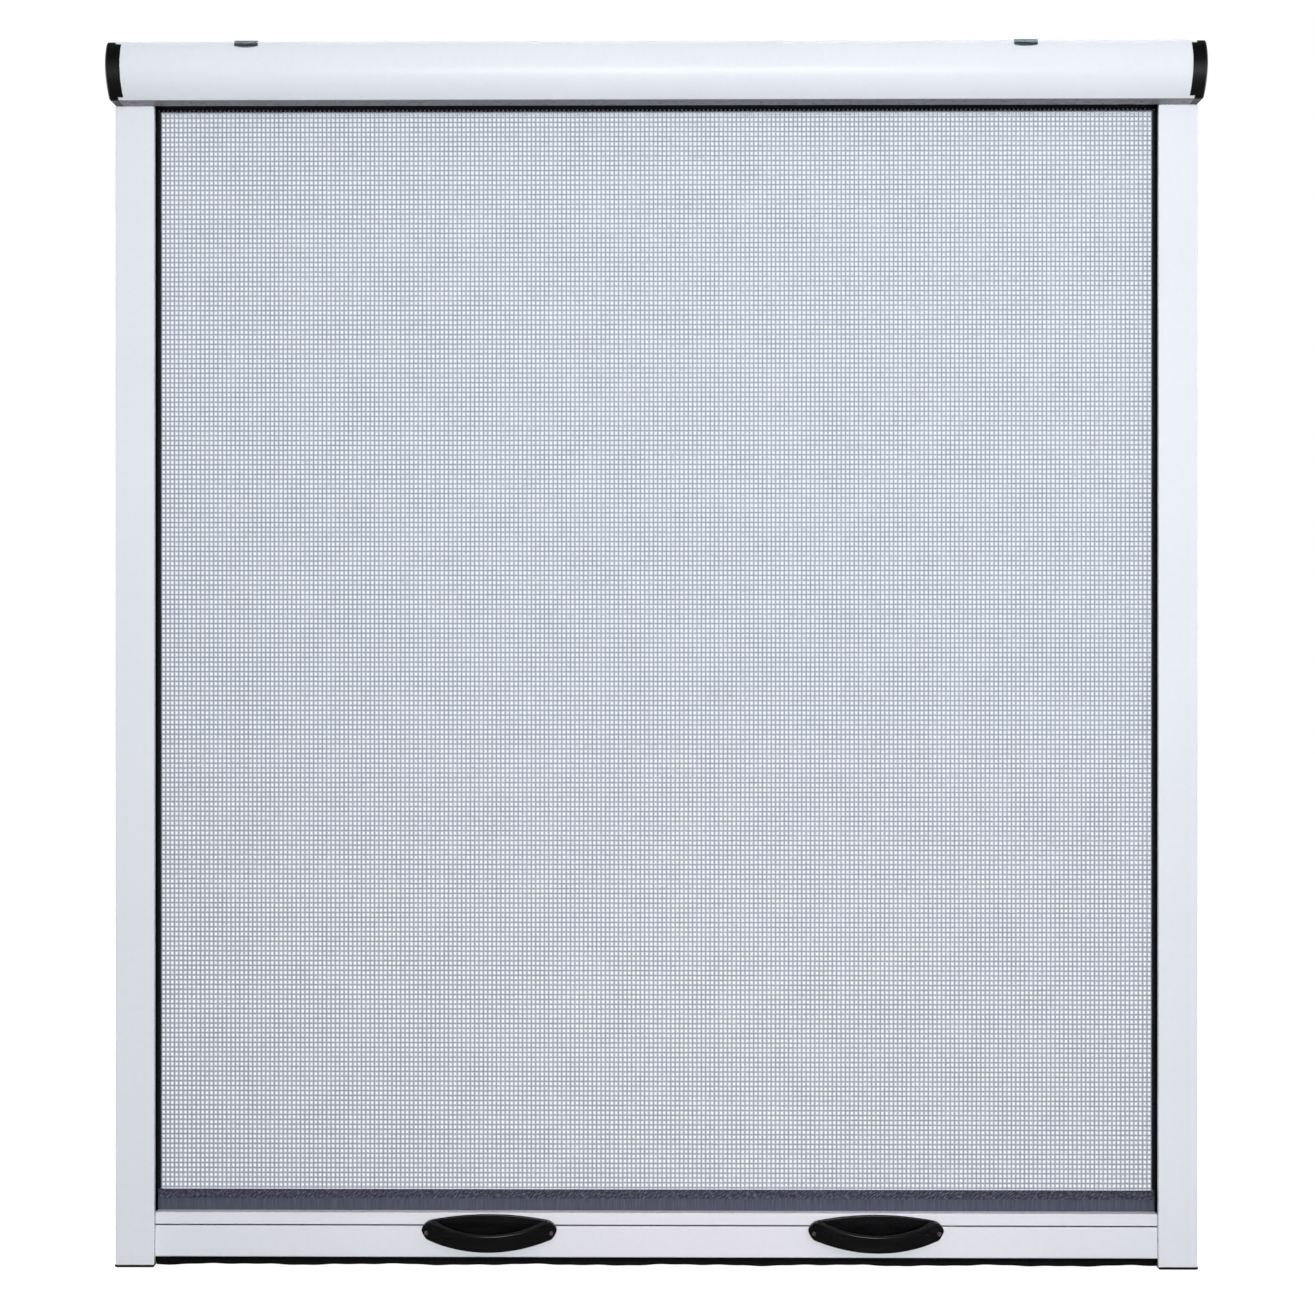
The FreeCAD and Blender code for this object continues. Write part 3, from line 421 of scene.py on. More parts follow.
def dullSteel():
    # screw heads of blackened steel, worn to a brownish grey
    material, tree, shader = newMaterial("blackenedSteel", {"Metallic": 1.0, "Roughness": 0.42})
    wear = noise(tree, objectPlace(tree), 0.8, 3)
    baseTone(tree, shader, wear, ((0.3, "#5A4E4B"), (0.7, "#8A7B75")))
    bump(tree, shader, wear, 0.02, 0.4)
    return material


def millAluminium():
    # bare extruded tube: fine die lines along it
    material, tree, shader = newMaterial("millFinishAluminium", {"Metallic": 1.0, "Roughness": 0.4})
    lines = noise(tree, objectPlace(tree, (0.02, 1, 1)), 0.8, 4)
    baseTone(tree, shader, lines, ((0.3, "#B9BBBE"), (0.7, "#D3D5D8")))
    bump(tree, shader, lines, 0.03, 0.5)
    return material


meshLook = {
    # from thread to thread: usual mesh has 1.41 by 1.59 mm, too fine to show, and the photograph
    # shows a pattern of about 3.26 by 3.64 mm
    "pitchAcross": 3.25, "pitchUp": 3.6,
    "threadWidth": 2.3, "threadDepth": 0.3,
    "offset": 0.06,   # upright threads in front of the middle, level ones behind
    "haze": 1.2, "unevenness": 0.03,   # mm from a thread's middle to its pale side, and its drift
    "railShade": (0.3682, 0.3694), "lipShade": (0.8576, 0.8586),   # m, where the mesh is painted dark as the piles' shade, in the rails and behind the lip
}


def meshThread():
    # glass yarn in a grey PVC coat. Each drawn thread stands for two or three usual ones and the
    # haze between them: dark along its middle, pale at its sides, and painted dark as shade between
    # the piles
    material, tree, shader = newMaterial("greyCoatedGlassYarn", {
        "Roughness": 0.6, "IOR": 1.5, "Specular IOR Level": 0.15,
    })
    low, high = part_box("screen_mesh")
    inset = meshLook["threadWidth"] / 2 * mm
    place = objectPlace(tree)
    axis = splitAxes(tree, place)
    nearest = []
    for name, least, most, pitch in (("X", low.x, high.x, meshLook["pitchAcross"]),
                                     ("Z", low.z, high.z, meshLook["pitchUp"])):
        count = int((most - least) / mm / pitch)
        step = (most - least - 2 * inset) / count
        shifted = mathNode(tree, "SUBTRACT", {0: (axis, name)}, {1: least + inset})
        nearest.append(mathNode(tree, "PINGPONG", {0: (shifted, 0)}, {1: step / 2}))
    away = mathNode(tree, "MINIMUM", {0: (nearest[0], 0), 1: (nearest[1], 0)})
    drift = noise(tree, place, 22, 3)   # the mesh's tension and dust change slowly over it
    uneven = meshLook["unevenness"] * mm
    drifting = remap(tree, drift, "Fac", 0.3, 0.7, -uneven, uneven)
    spread = mathNode(tree, "ADD", {0: (away, 0), 1: (drifting, "Result")})
    share = remap(tree, spread, 0, 0.0, meshLook["haze"] * mm, 0.0, 1.0)
    tone = ramp(tree, share, "Result", (
        (0.0, "#848A94"), (0.16, "#9CA2AC"), (0.38, "#D3D8E1"), (1.0, "#ECEEF4")))
    # painted shade: near black over the threads inside the rails and behind the cassette's lip
    sideways = mathNode(tree, "ABSOLUTE", {0: (axis, "X")})
    inRail = remap(tree, sideways, 0, *meshLook["railShade"], 0.0, 1.0)
    inLip = remap(tree, axis, "Z", *meshLook["lipShade"], 0.0, 1.0)
    paintedPileShade = mathNode(tree, "MAXIMUM", {0: (inRail, 0), 1: (inLip, 0)})
    overlay(tree, shader, tone, paintedPileShade, "#1B1C1F")
    strand = noise(tree, place, 1.0, 2)
    bump(tree, shader, strand, 0.03, 0.3)
    return material


white = powderCoat("whitePolyesterPowderCoat")
# the cassette's and the bar's coats carry painted shade, under the lip and in the groove
whiteCassette = powderCoat("whitePowderCoatCassette", "frontLip")
whiteBar = powderCoat("whitePowderCoatBar", "barGroove", "#77747B")
capPlastic = blackPlastic("blackMouldedNylonSatin", 0.36)
handlePlastic = blackPlastic("blackMouldedNylonHandle", 0.26, "#070505")
innerPlastic = blackPlastic("blackMouldedNylonInner", 0.5)
pile = brushPile()
backing = pileBacking()
zinc = zincSteel()
screwSteel = dullSteel()
bare = millAluminium()
thread = meshThread()

paint(white, "guide_left", "guide_right")
paint(whiteCassette, "cassette")
paint(whiteBar, "bottom_bar")
paint(capPlastic, "end_cap_left", "end_cap_right", "guide_foot_left", "guide_foot_right")
paint(innerPlastic, "bar_plug_left", "bar_plug_right", "roller_plug_left", "roller_plug_right",
      "spring_anchor", "idle_pin", "band_spline")
paint(zinc, "clip_left", "clip_right", "spring_shaft")
paint(bare, "roller_tube")
print("scene: materials on the CAD nodes")


# a thread's section, across and out, in halves of its width and depth
threadRing = ((-1, 0), (-0.55, -0.8), (0, -1), (0.55, -0.8),
              (1, 0), (0.55, 0.8), (0, 1), (-0.55, 0.8))


def threadBlock(start, end, along, points, faces):
    # one straight thread from start to end, its flat side to the front
    faces += tubeFaces(2, len(threadRing), len(points))
    for x, y, z in (start, end):
        for across, out in threadRing:
            across *= meshLook["threadWidth"] / 2
            out *= meshLook["threadDepth"] / 2
            points.append((x + across, y + out, z) if along == "up" else (x, y + out, z - across))


def hangMesh():
    low, high = (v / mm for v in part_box("screen_mesh"))
    middle = (low.y + high.y) / 2
    ahead, behind = middle - meshLook["offset"], middle + meshLook["offset"]
    points, faces = [], []
    countAcross = int((high.x - low.x) / meshLook["pitchAcross"])
    countUp = int((high.z - low.z) / meshLook["pitchUp"])
    inset = meshLook["threadWidth"] / 2
    for x in np.linspace(low.x + inset, high.x - inset, countAcross + 1):
        threadBlock((x, ahead, low.z), (x, ahead, high.z), "up", points, faces)
    for z in np.linspace(low.z + inset, high.z - inset, countUp + 1):
        threadBlock((low.x, behind, z), (high.x, behind, z), "across", points, faces)
    piece = meshPiece("screenMesh", points, faces, thread, smooth=False)
    settle(piece, "frame", "grey_mesh", "screen_mesh")
    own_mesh(piece)


hangMesh()
print("scene: mesh")


# brushes: a woven backing, a dark core and Geometry Nodes bristles
bristle = {
    "thickness": 0.36,   # mm at the root; the real pile is 0.1 mm, drawn thicker to show
    "backingWidth": 4.2, "backingDepth": 0.9, "pileWidth": 3.4,
    "lowEdge": 0.15, "highEdge": 0.2,   # the backing's cut corners
    "endInset": 0.3, "sideInset": 0.1,  # from the pile's edge to its outermost roots
    "backingStep": 12, "coreStep": 2.5,   # mm from ring to ring
    "coreFoot": 0.8, "coreWaist": 0.9, "coreTop": 0.98, "waistHeight": 0.6,   # shares of the pile
    "clump": 40.0,   # mm between leans of the pile
    "leanPhase": 2.0, "lengthPhase": 0.4,   # radians
    "lengthWave": 0.8,   # of the wave that its lean has
}


def nodeTree(name, inputs):
    # inputs: name -> socket type
    tree = bpy.data.node_groups.new(name, "GeometryNodeTree")
    tree.interface.new_socket("Geometry", in_out="INPUT", socket_type="NodeSocketGeometry")
    for label, kind in inputs.items():
        tree.interface.new_socket(label, in_out="INPUT", socket_type="NodeSocket" + kind)
    tree.interface.new_socket("Geometry", in_out="OUTPUT", socket_type="NodeSocketGeometry")
    return tree, tree.nodes.new("NodeGroupInput")


def useTree(piece, tree, values):
    # sets the inputs by their identifiers, evaluates, and leaves a plain mesh
    modifier = piece.modifiers.new(tree.name, "NODES")
    modifier.node_group = tree
    for item in tree.interface.items_tree:
        if item.item_type == "SOCKET" and item.in_out == "INPUT" and item.name in values:
            modifier[item.identifier] = values[item.name]
    graph = bpy.context.evaluated_depsgraph_get()
    made = bpy.data.meshes.new_from_object(piece.evaluated_get(graph))
    piece.modifiers.clear()
    piece.data = made
    return piece


def pileTree():
    tree, given = nodeTree("pileBristles", {
        "Density": "Float", "Radius": "Float", "Length": "Float", "Shortest": "Float",
        "Splay": "Float", "Lean": "Float", "Seed": "Int", "Material": "Material",
    })
    spots = addNode(tree, "GeometryNodeDistributePointsOnFaces", links={
        "Mesh": (given, "Geometry"), "Density": (given, "Density"), "Seed": (given, "Seed")})
    hair = addNode(tree, "GeometryNodeMeshCone", {"fill_type": "NGON"}, {
        "Vertices": 3, "Side Segments": 1, "Fill Segments": 1, "Radius Top": 0.0, "Depth": 1.0,
    }, {"Radius Bottom": (given, "Radius")})
    where = tree.nodes.new("GeometryNodeInputPosition")
    # each bristle leans with its neighbours, and splays a little on its own
    lean = addNode(tree, "ShaderNodeTexNoise",
                   inputs={"Scale": 1000 / bristle["clump"], "Detail": 2.0},
                   links={"Vector": (where, "Position")})
    leanAway = vectorNode(tree, "SUBTRACT", {0: (lean, "Color")}, {1: (0.5, 0.5, 0.5)})
    leanSized = vectorNode(tree, "SCALE", {0: (leanAway, 0), "Scale": (given, "Lean")})
    splay = addNode(tree, "FunctionNodeRandomValue", {"data_type": "FLOAT_VECTOR"},
                    {"Min": (-1, -1, -1), "Max": (1, 1, 1)}, {"Seed": (given, "Seed")})
    splaySized = vectorNode(tree, "SCALE", {0: (splay, 0), "Scale": (given, "Splay")})
    both = vectorNode(tree, "ADD", {0: (leanSized, 0), 1: (splaySized, 0)})
    upright = vectorNode(tree, "ADD", {0: (both, 0)}, {1: (0, 0, 1)})
    turned = addNode(tree, "FunctionNodeAlignRotationToVector", {"axis": "Z"},
                     links={"Vector": (upright, 0)})
    share = addNode(tree, "FunctionNodeRandomValue", {"data_type": "FLOAT"}, {"Max": 1.0},
                    {"Min": (given, "Shortest"), "Seed": (given, "Seed")})
    long = mathNode(tree, "MULTIPLY", {0: (share, 1), 1: (given, "Length")})
    size = addNode(tree, "ShaderNodeCombineXYZ", inputs={"X": 1.0, "Y": 1.0},
                   links={"Z": (long, 0)})
    placed = addNode(tree, "GeometryNodeInstanceOnPoints", links={
        "Points": (spots, "Points"), "Instance": (hair, "Mesh"),
        "Rotation": (turned, 0), "Scale": (size, 0)})
    finishTree(tree, placed, given)
    return tree


def finishTree(tree, placed, given):
    # the instances as real geometry, in the given material
    real = addNode(tree, "GeometryNodeRealizeInstances", links={"Geometry": (placed, "Instances")})
    made = addNode(tree, "GeometryNodeSetMaterial", links={
        "Geometry": (real, "Geometry"), "Material": (given, "Material")})
    addNode(tree, "NodeGroupOutput", links={"Geometry": (made, "Geometry")})


def stripBlock(name, length, outline, material, step):
    # an outline (across, out) drawn along the strip, in mm, with closed ends
    count = max(2, int(length / step))
    points = []
    for i in range(count + 1):
        u = -length / 2 + length * i / count
        points += [(u, across, out) for across, out in outline]
    return meshPiece(name, points, tubeFaces(count + 1, len(outline)), material, smooth=False)


def slowWave(u, length, phase):
    # from 0 to 1, along a strip
    turn = 2 * math.pi * u / length
    return (0.5 + 0.25 * np.sin(turn + phase) + 0.15 * np.sin(2.3 * turn + 2 * phase)
            + 0.1 * np.sin(5.1 * turn + 1.0))


def pileStrip(name, length, pileLength, turn, place, look, limits):
    # made lying along X, bristles up, then turned to its place; limits keep it off what moves
    wide, root = bristle["backingWidth"] / 2, bristle["pileWidth"] / 2
    deep, under, over = bristle["backingDepth"], bristle["lowEdge"], bristle["highEdge"]
    tape = stripBlock(name + "Tape", length, [
        (-wide, under), (-wide + under, 0), (wide - under, 0), (wide, under), (wide, deep - over),
        (wide - over, deep), (-wide + over, deep), (-wide, deep - over)],
        backing, bristle["backingStep"])
    end, margin = bristle["endInset"], bristle["sideInset"]
    full, waist = deep + pileLength * look["core"], deep + pileLength * bristle["waistHeight"]
    foot, narrow, top = (root * bristle[k] for k in ("coreFoot", "coreWaist", "coreTop"))
    core = stripBlock(name + "Core", length - 2 * end, [
        (-foot, deep * 0.5), (foot, deep * 0.5), (narrow, waist), (top, full),
        (-top, full), (-narrow, waist)], pile, bristle["coreStep"])
    ground = meshPiece(name + "Ground", [
        (-length / 2 + end, -root + margin, deep), (length / 2 - end, -root + margin, deep),
        (length / 2 - end, root - margin, deep), (-length / 2 + end, root - margin, deep),
    ], [(0, 1, 2, 3)], pile)
    area = (length - 2 * end) * (2 * root - 2 * margin) * mm * mm
    hairs = useTree(ground, bristleTree, {
        "Density": look["count"] / area, "Radius": bristle["thickness"] / 2 * mm,
        "Length": pileLength * mm, "Shortest": look["shortest"], "Splay": look["splay"],
        "Lean": look["lean"], "Seed": look["seed"], "Material": pile})
    piece = joinPieces(name, [tape, core, hairs])
    points = np.empty(len(piece.data.vertices) * 3, np.float32)
    piece.data.vertices.foreach_get("co", points)
    points = points.reshape(-1, 3) / mm
    # the pile's length and its lean change slowly along the strip
    along, out = points[:, 0], np.maximum(points[:, 2] - deep, 0)
    leaning = slowWave(along, look["waveLength"], bristle["leanPhase"]) - 0.5
    shorter = slowWave(along, look["waveLength"] * bristle["lengthWave"], bristle["lengthPhase"])
    points[:, 1] += out * (look["tilt"] + look["tiltWave"] * leaning)
    points[:, 2] -= out * look["wave"] * shorter
    points[:, 1] *= 1 + look["flare"] * np.maximum(out / pileLength, 0) ** 2
    points = points @ np.array(turn.transposed(), np.float32) + np.array(place, np.float32)
    for axis, (least, most) in limits.items():
        points[:, axis] = np.clip(points[:, axis], least, most)
    piece.data.vertices.foreach_set("co", (points * mm).astype(np.float32).ravel())
    piece.data.update()
    return piece


bristleTree = pileTree()
guidePile = {
    "count": 24000, "shortest": 0.9, "splay": 0.05, "lean": 0.2, "core": 0.94, "seed": 11,
    "wave": 0.02, "waveLength": 90.0, "tilt": 0.0, "tiltWave": 0.0, "flare": 0.9,
    "inner": 370.9, "outer": 376.4,   # mm from the middle that the pile may reach
}
cassettePile = {
    "count": 36000, "shortest": 0.88, "splay": 0.05, "lean": 0.12, "core": 0.94, "seed": 21,
    "wave": 0.02, "waveLength": 120.0, "tilt": 0.03, "tiltWave": 0.0, "flare": 0.1,
    "lowest": 859.4,   # mm
}
barPile = {
    "count": 36000, "shortest": 0.94, "splay": 0.06, "lean": 0.15, "core": 0.95, "seed": 33,
    "wave": 0.22, "waveLength": 140.0, "tilt": 0.8, "tiltWave": 0.1, "flare": 0.0,
    "longer": 0.3, "foremost": 4.6, "behind": 0.6, "lowest": 0.1,   # mm
}


def axes(u, v, w):
    # a turn that sends the strip's own axes to these directions
    return Matrix((u, v, w)).transposed()


def makeBrushes():
    deep = bristle["backingDepth"]
    for word, side in sides:
        for face in ("front", "rear"):
            low, high = (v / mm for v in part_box(f"guide_brush_{word}_{face}"))
            middle, half = (low.x + high.x) / 2, (low.z + high.z) / 2
            if face == "front":
                turn, start = axes((0, 0, 1), (1, 0, 0), (0, 1, 0)), low.y
            else:
                turn, start = axes((0, 0, -1), (1, 0, 0), (0, -1, 0)), high.y
            look = {**guidePile, "seed": guidePile["seed"] + 2 * (side + 1) + (face == "rear")}
            reach = sorted((side * guidePile["inner"], side * guidePile["outer"]))
            piece = pileStrip(f"guidePile_{word}_{face}", high.z - low.z, high.y - low.y - deep,
                              turn, (middle, start, half), look,
                              {0: reach, 1: (low.y, high.y), 2: (low.z, high.z)})
            settle(piece, "frame", "black_brush_pile", f"guide_brush_{word}_{face}")
    low, high = (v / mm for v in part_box("cassette_brush"))
    piece = pileStrip("cassettePile", high.x - low.x, high.y - low.y - deep,
                      axes((1, 0, 0), (0, 0, -1), (0, 1, 0)),
                      (0, low.y, (low.z + high.z) / 2), cassettePile,
                      {0: (low.x, high.x), 1: (low.y, high.y),
                       2: (cassettePile["lowest"], high.z)})
    settle(piece, "frame", "black_brush_pile", "cassette_brush")
    low, high = (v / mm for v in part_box("bar_brush"))
    piece = pileStrip("barPile", high.x - low.x, high.z - low.z - deep + barPile["longer"],
                      axes((1, 0, 0), (0, -1, 0), (0, 0, -1)),
                      (0, (low.y + high.y) / 2, high.z), barPile,
                      {0: (low.x, high.x), 1: (barPile["foremost"], high.y + barPile["behind"]),
                       2: (barPile["lowest"], high.z)})
    settle(piece, "bar", "black_brush_pile", "bar_brush")


makeBrushes()
print("scene: brushes")


bandLook = {
    "ribPitch": 1.6, "ribDepth": 0.07, "ribSteps": 4,
    "seamRise": 8.6, "hem": 0.9,
    "seamShade": (0.0478, 0.0486),   # m, where the ribs' colour gives way to the fibres'
    "barEnd": 371.4, "inBar": 0.32,   # how far the bar's channel reaches, sideways and up
    # the front face's rows from the bottom up: its edge, mm above that edge, mm sunk, ribbed or not
    "rows": (
        ("foot", 0.0, 0.04, 0), ("bar", 0.3, 0.04, 0), ("bar", 0.35, 0.04, 1),
        ("seam", -0.5, 0.04, 1), ("seam", -0.25, 0.0, 0), ("seam", 0.25, 0.0, 0),
        ("seam", 0.5, 0.09, 0), ("hem", 0.0, 0.09, 0), ("hem", 0.25, 0.0, 0),
        ("top", -0.15, 0.0, 0), ("top", 0.0, 0.12, 0),
    ),
}


def slateBand():
    # coated band welded to the mesh: slanting fibres in its upper half, fine ribs in its lower half
    material, tree, shader = newMaterial("slateWeldedBand", {
        "Roughness": 0.55, "IOR": 1.5, "Specular IOR Level": 0.3,
    })
    place = objectPlace(tree)
    slanted = addNode(tree, "ShaderNodeMapping", {"vector_type": "TEXTURE"},
                      {"Scale": (1, 1, 3.5), "Rotation": (0, math.radians(52), 0)},
                      {"Vector": (place, "Vector")})
    fibre = noise(tree, slanted, 0.9, 1)
    upper = ramp(tree, fibre, "Fac", ((0.36, "#272632"), (0.52, "#3D3D4E"), (0.66, "#606176")))
    ribs = noise(tree, objectPlace(tree, (1, 1, 0.05)), 1.0, 2)
    lower = ramp(tree, ribs, "Fac", ((0.3, "#3F4452"), (0.7, "#545967")))
    split = remap(tree, splitAxes(tree, place), "Z", *bandLook["seamShade"], 0.0, 1.0)
    tone = addNode(tree, "ShaderNodeMix", {"data_type": "RGBA"}, links={
        0: (split, "Result"), 6: (lower, "Color"), 7: (upper, "Color")})
    tree.links.new(tone.outputs[2], shader.inputs["Base Color"])
    bump(tree, shader, fibre, 0.08, 0.6)
    return material


def woundWeave():
    # the mesh's turns on the tube, too close to tell the threads apart
    material, tree, shader = newMaterial("greyMeshWound", {
        "Roughness": 0.6, "Specular IOR Level": 0.3,
    })
    weave = bands(tree, objectPlace(tree), 1.6)
    baseTone(tree, shader, weave, ((0.3, "#3E4046"), (0.7, "#6A6C73")))
    bump(tree, shader, weave, 0.1, 0.6)
    return material


def makeBand():
    low, high = (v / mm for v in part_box("mesh_band"))
    barEnd, barTop = bandLook["barEnd"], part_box("bottom_bar")[1].z / mm
    edges = {"foot": low.z, "bar": barTop, "seam": barTop + bandLook["seamRise"],
             "hem": high.z - bandLook["hem"], "top": high.z}
    rows = [(edges[edge] + above, sunk, ribbed) for edge, above, sunk, ribbed in bandLook["rows"]]
    count = int((high.x - low.x) / bandLook["ribPitch"]) * bandLook["ribSteps"]
    points, faces = [], []
    for z, sunk, ribbed in rows:
        for i in range(count + 1):
            x = low.x + (high.x - low.x) * i / count
            if z < barTop + bandLook["inBar"]:
                x = max(-barEnd, min(barEnd, x))
            turn = 2 * math.pi * i / bandLook["ribSteps"]
            rib = bandLook["ribDepth"] * (0.5 - 0.5 * math.cos(turn)) * ribbed
            points.append((x, low.y + sunk + rib, z))
    # the rear face mirrors the front one, and quads close the four sides
    wide, total = count + 1, len(points)
    points += [(x, high.y - (y - low.y), z) for x, y, z in points]
    for r in range(len(rows) - 1):
        for i in range(count):
            a = r * wide + i
            b = total + a
            faces.append((a, a + 1, a + 1 + wide, a + wide))
            faces.append((b, b + wide, b + 1 + wide, b + 1))
    last = (len(rows) - 1) * wide
    for i in range(count):
        a = last + i
        faces.append((i, total + i, total + i + 1, i + 1))
        faces.append((a, a + 1, total + a + 1, total + a))
    for r in range(len(rows) - 1):
        a, b = r * wide, r * wide + count
        faces.append((a, a + wide, total + a + wide, total + a))
        faces.append((b, total + b, total + b + wide, b + wide))
    piece = meshPiece("meshBand", points, faces, bandFinish, smooth=False)
    settle(piece, "bar", "slate_band", "mesh_band")


rollLook = {"turns": 1.9, "turnSteps": 40, "thickness": 0.12, "depth": 0.5}   # mm of wound mesh


def makeRoll():
    # the turns that stay on the tube: a spiral with the mesh leaving it towards the hanging part
    low, high = (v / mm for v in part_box("mesh_roll"))
    centreY, centreZ = (low.y + high.y) / 2, (low.z + high.z) / 2
    outer = (high.z - low.z) / 2
    steps, thick = rollLook["turnSteps"], rollLook["thickness"]
    inner = outer - rollLook["depth"]
    count = int(rollLook["turns"] * steps)
    line = []
    for i in range(count + 1):
        angle = 2 * math.pi * i / steps
        radius = inner + (outer - thick / 2 - inner) * i / count
        line.append((angle, radius))
    points, faces = [], []
    for x in (low.x, high.x):
        for away in (-thick / 2, thick / 2):
            for angle, radius in line:
                out = radius + away
                points.append((x, centreY + out * math.cos(angle), centreZ + out * math.sin(angle)))
    n = count + 1
    for i in range(count):
        a, b, c, d = i, i + n, i + 2 * n, i + 3 * n   # inner and outer, at the low and the high end
        faces += [(a, c, c + 1, a + 1), (b, b + 1, d + 1, d),
                  (a, a + 1, b + 1, b), (c, d, d + 1, c + 1)]
    faces += [(0, n, 3 * n, 2 * n), (count, count + 2 * n, count + 3 * n, count + n)]
    piece = meshPiece("woundMesh", points, faces, woundFinish)
    settle(piece, "roller", "grey_mesh", "mesh_roll")


bandFinish = slateBand()
woundFinish = woundWeave()
makeBand()
makeRoll()
print("scene: band and wound mesh")


# the roller's spring: round wire, wound closely
springLook = {"wireRadius": 0.95, "coilRadius": 4.6, "pitch": 2.15, "turnSteps": 16, "wireSides": 8}


def makeSpring():
    low, high = (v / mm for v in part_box("torsion_spring"))
    wire, coil, pitch = (springLook[k] for k in ("wireRadius", "coilRadius", "pitch"))
    turnSteps, around = springLook["turnSteps"], springLook["wireSides"]
    centre = np.array((low.x + wire, (low.y + high.y) / 2, (low.z + high.z) / 2))
    steps = int((high.x - low.x - 2 * wire) / pitch * turnSteps)
    points = []
    for i in range(steps + 1):
        angle = 2 * math.pi * i / turnSteps
        out = np.array((0, math.cos(angle), math.sin(angle)))
        along = np.array((pitch / (2 * math.pi), -coil * math.sin(angle), coil * math.cos(angle)))
        side = np.cross(along / np.linalg.norm(along), out)
        middle = centre + out * coil + np.array((pitch * i / turnSteps, 0, 0))
        for k in range(around):
            turn = 2 * math.pi * k / around
            points.append(middle + wire * (math.cos(turn) * out + math.sin(turn) * side))
    piece = meshPiece("springWire", points, tubeFaces(steps + 1, around), zinc)
    settle(piece, "frame", "zinc_plated_steel", "torsion_spring")


makeSpring()
print("scene: spring")


# handles: moulded scoops with a rounded rim; millimetres, degrees, and heights from the foot or top
handleLook = {
    "half": 50.0, "shoulder": 42.5, "heel": 46.0,
    "shoulderDrop": 4.0, "tipDrop": 11.1, "heelDrop": 17.9,
    "tipRadius": 8.8, "heelRadius": 10.3, "cornerSteps": 24,
    "pocketHalf": 42.5, "pocketEdge": 1.3, "pocketFront": -11.3, "floorRise": 2.6,
    "floorWall": 0.6, "floorCurve": 5,   # the least wall under the floor, and how late it rises
    "floorTuck": 0.25, "tuckShare": 0.95,
    "lipHeight": 12.1, "lipSlope": 31.0, "endThickness": 3.0,
    "stations": 57, "reach": 0.9985,   # cuts along it, and the outermost one's share of the half
    # corner radii, from the lower back edge round the front and the pocket to the upper back edge
    "radii": (0.4, 1.7, 1.3, 0.9, 3.5, 2.5, 0.7, 0.9),
    "shrinks": (5, 4, 4, 0, 0, 0, 0, 5),   # a radius is at most the height over this; 0: no limit
    "weld": 2e-6, "sharp": 50,   # m, degrees
    "screwPlace": 45.9, "screwHeight": 10.8,
}

cornerLook = {
    "segments": 4,
    "reach": 0.45, "hold": 0.49,   # shares of a side that an arc, and its holding point, take
    "holdLength": 0.25, "flattest": 0.05,   # mm, radians
    "tiny": 1e-6,
}


def arcPoints(start, end, radius, count):
    # an arc bulging to the right of the way from start to end
    start, end = np.array(start, float), np.array(end, float)
    chord = end - start
    length = np.linalg.norm(chord)
    normal = np.array([-chord[1], chord[0]]) / length
    centre = (start + end) / 2 + normal * math.sqrt(max(radius ** 2 - (length / 2) ** 2, 0))
    first = math.atan2(*(start - centre)[::-1])
    sweep = 2 * math.asin(min(1, length / 2 / radius))
    return [centre + radius * np.array([math.cos(first + sweep * t), math.sin(first + sweep * t)])
            for t in np.linspace(0, 1, count)]


def crown(x, half, edge, middle):
    # height at x of an arc from (-half, edge) over (0, middle) to (half, edge)
    rise = middle - edge
    radius = half * half / (2 * abs(rise)) + abs(rise) / 2
    return edge + math.copysign(math.sqrt(radius * radius - x * x) - (radius - abs(rise)), rise)


def rounded(corners):
    # corners: (y, z, radius); each becomes an arc with a holding point beside it on either side
    segments, tiny = cornerLook["segments"], cornerLook["tiny"]
    points = []
    count = len(corners)
    for k in range(count):
        here = np.array(corners[k][:2])
        before, after = np.array(corners[k - 1][:2]), np.array(corners[(k + 1) % count][:2])
        a, b = before - here, after - here
        la, lb = np.linalg.norm(a), np.linalg.norm(b)
        if la < tiny or lb < tiny:
            points += [here] * (segments + 3)
            continue
        a, b = a / la, b / lb
        angle = math.acos(max(-1, min(1, float(a @ b))))
        wanted = corners[k][2] / math.tan(angle / 2) if angle > cornerLook["flattest"] else 0
        reach = min(wanted, la * cornerLook["reach"], lb * cornerLook["reach"])
        hold = min(cornerLook["holdLength"],
                   la * cornerLook["hold"] - reach, lb * cornerLook["hold"] - reach)
        radius = reach * math.tan(angle / 2)
        middle = a + b
        if np.linalg.norm(middle) < tiny or reach < tiny:
            points += [here] * (segments + 3)
            continue
        centre = here + middle / np.linalg.norm(middle) * (radius / math.sin(angle / 2))
        first, last = here + a * reach - centre, here + b * reach - centre
        sweep = math.atan2(first[0] * last[1] - first[1] * last[0], float(first @ last))
        points.append(here + a * (reach + hold))
        for t in np.linspace(0, 1, segments + 1):
            c, s = math.cos(sweep * t), math.sin(sweep * t)
            points.append(centre + np.array([c * first[0] - s * first[1],
                                             s * first[0] + c * first[1]]))
        points.append(here + b * (reach + hold))
    return points


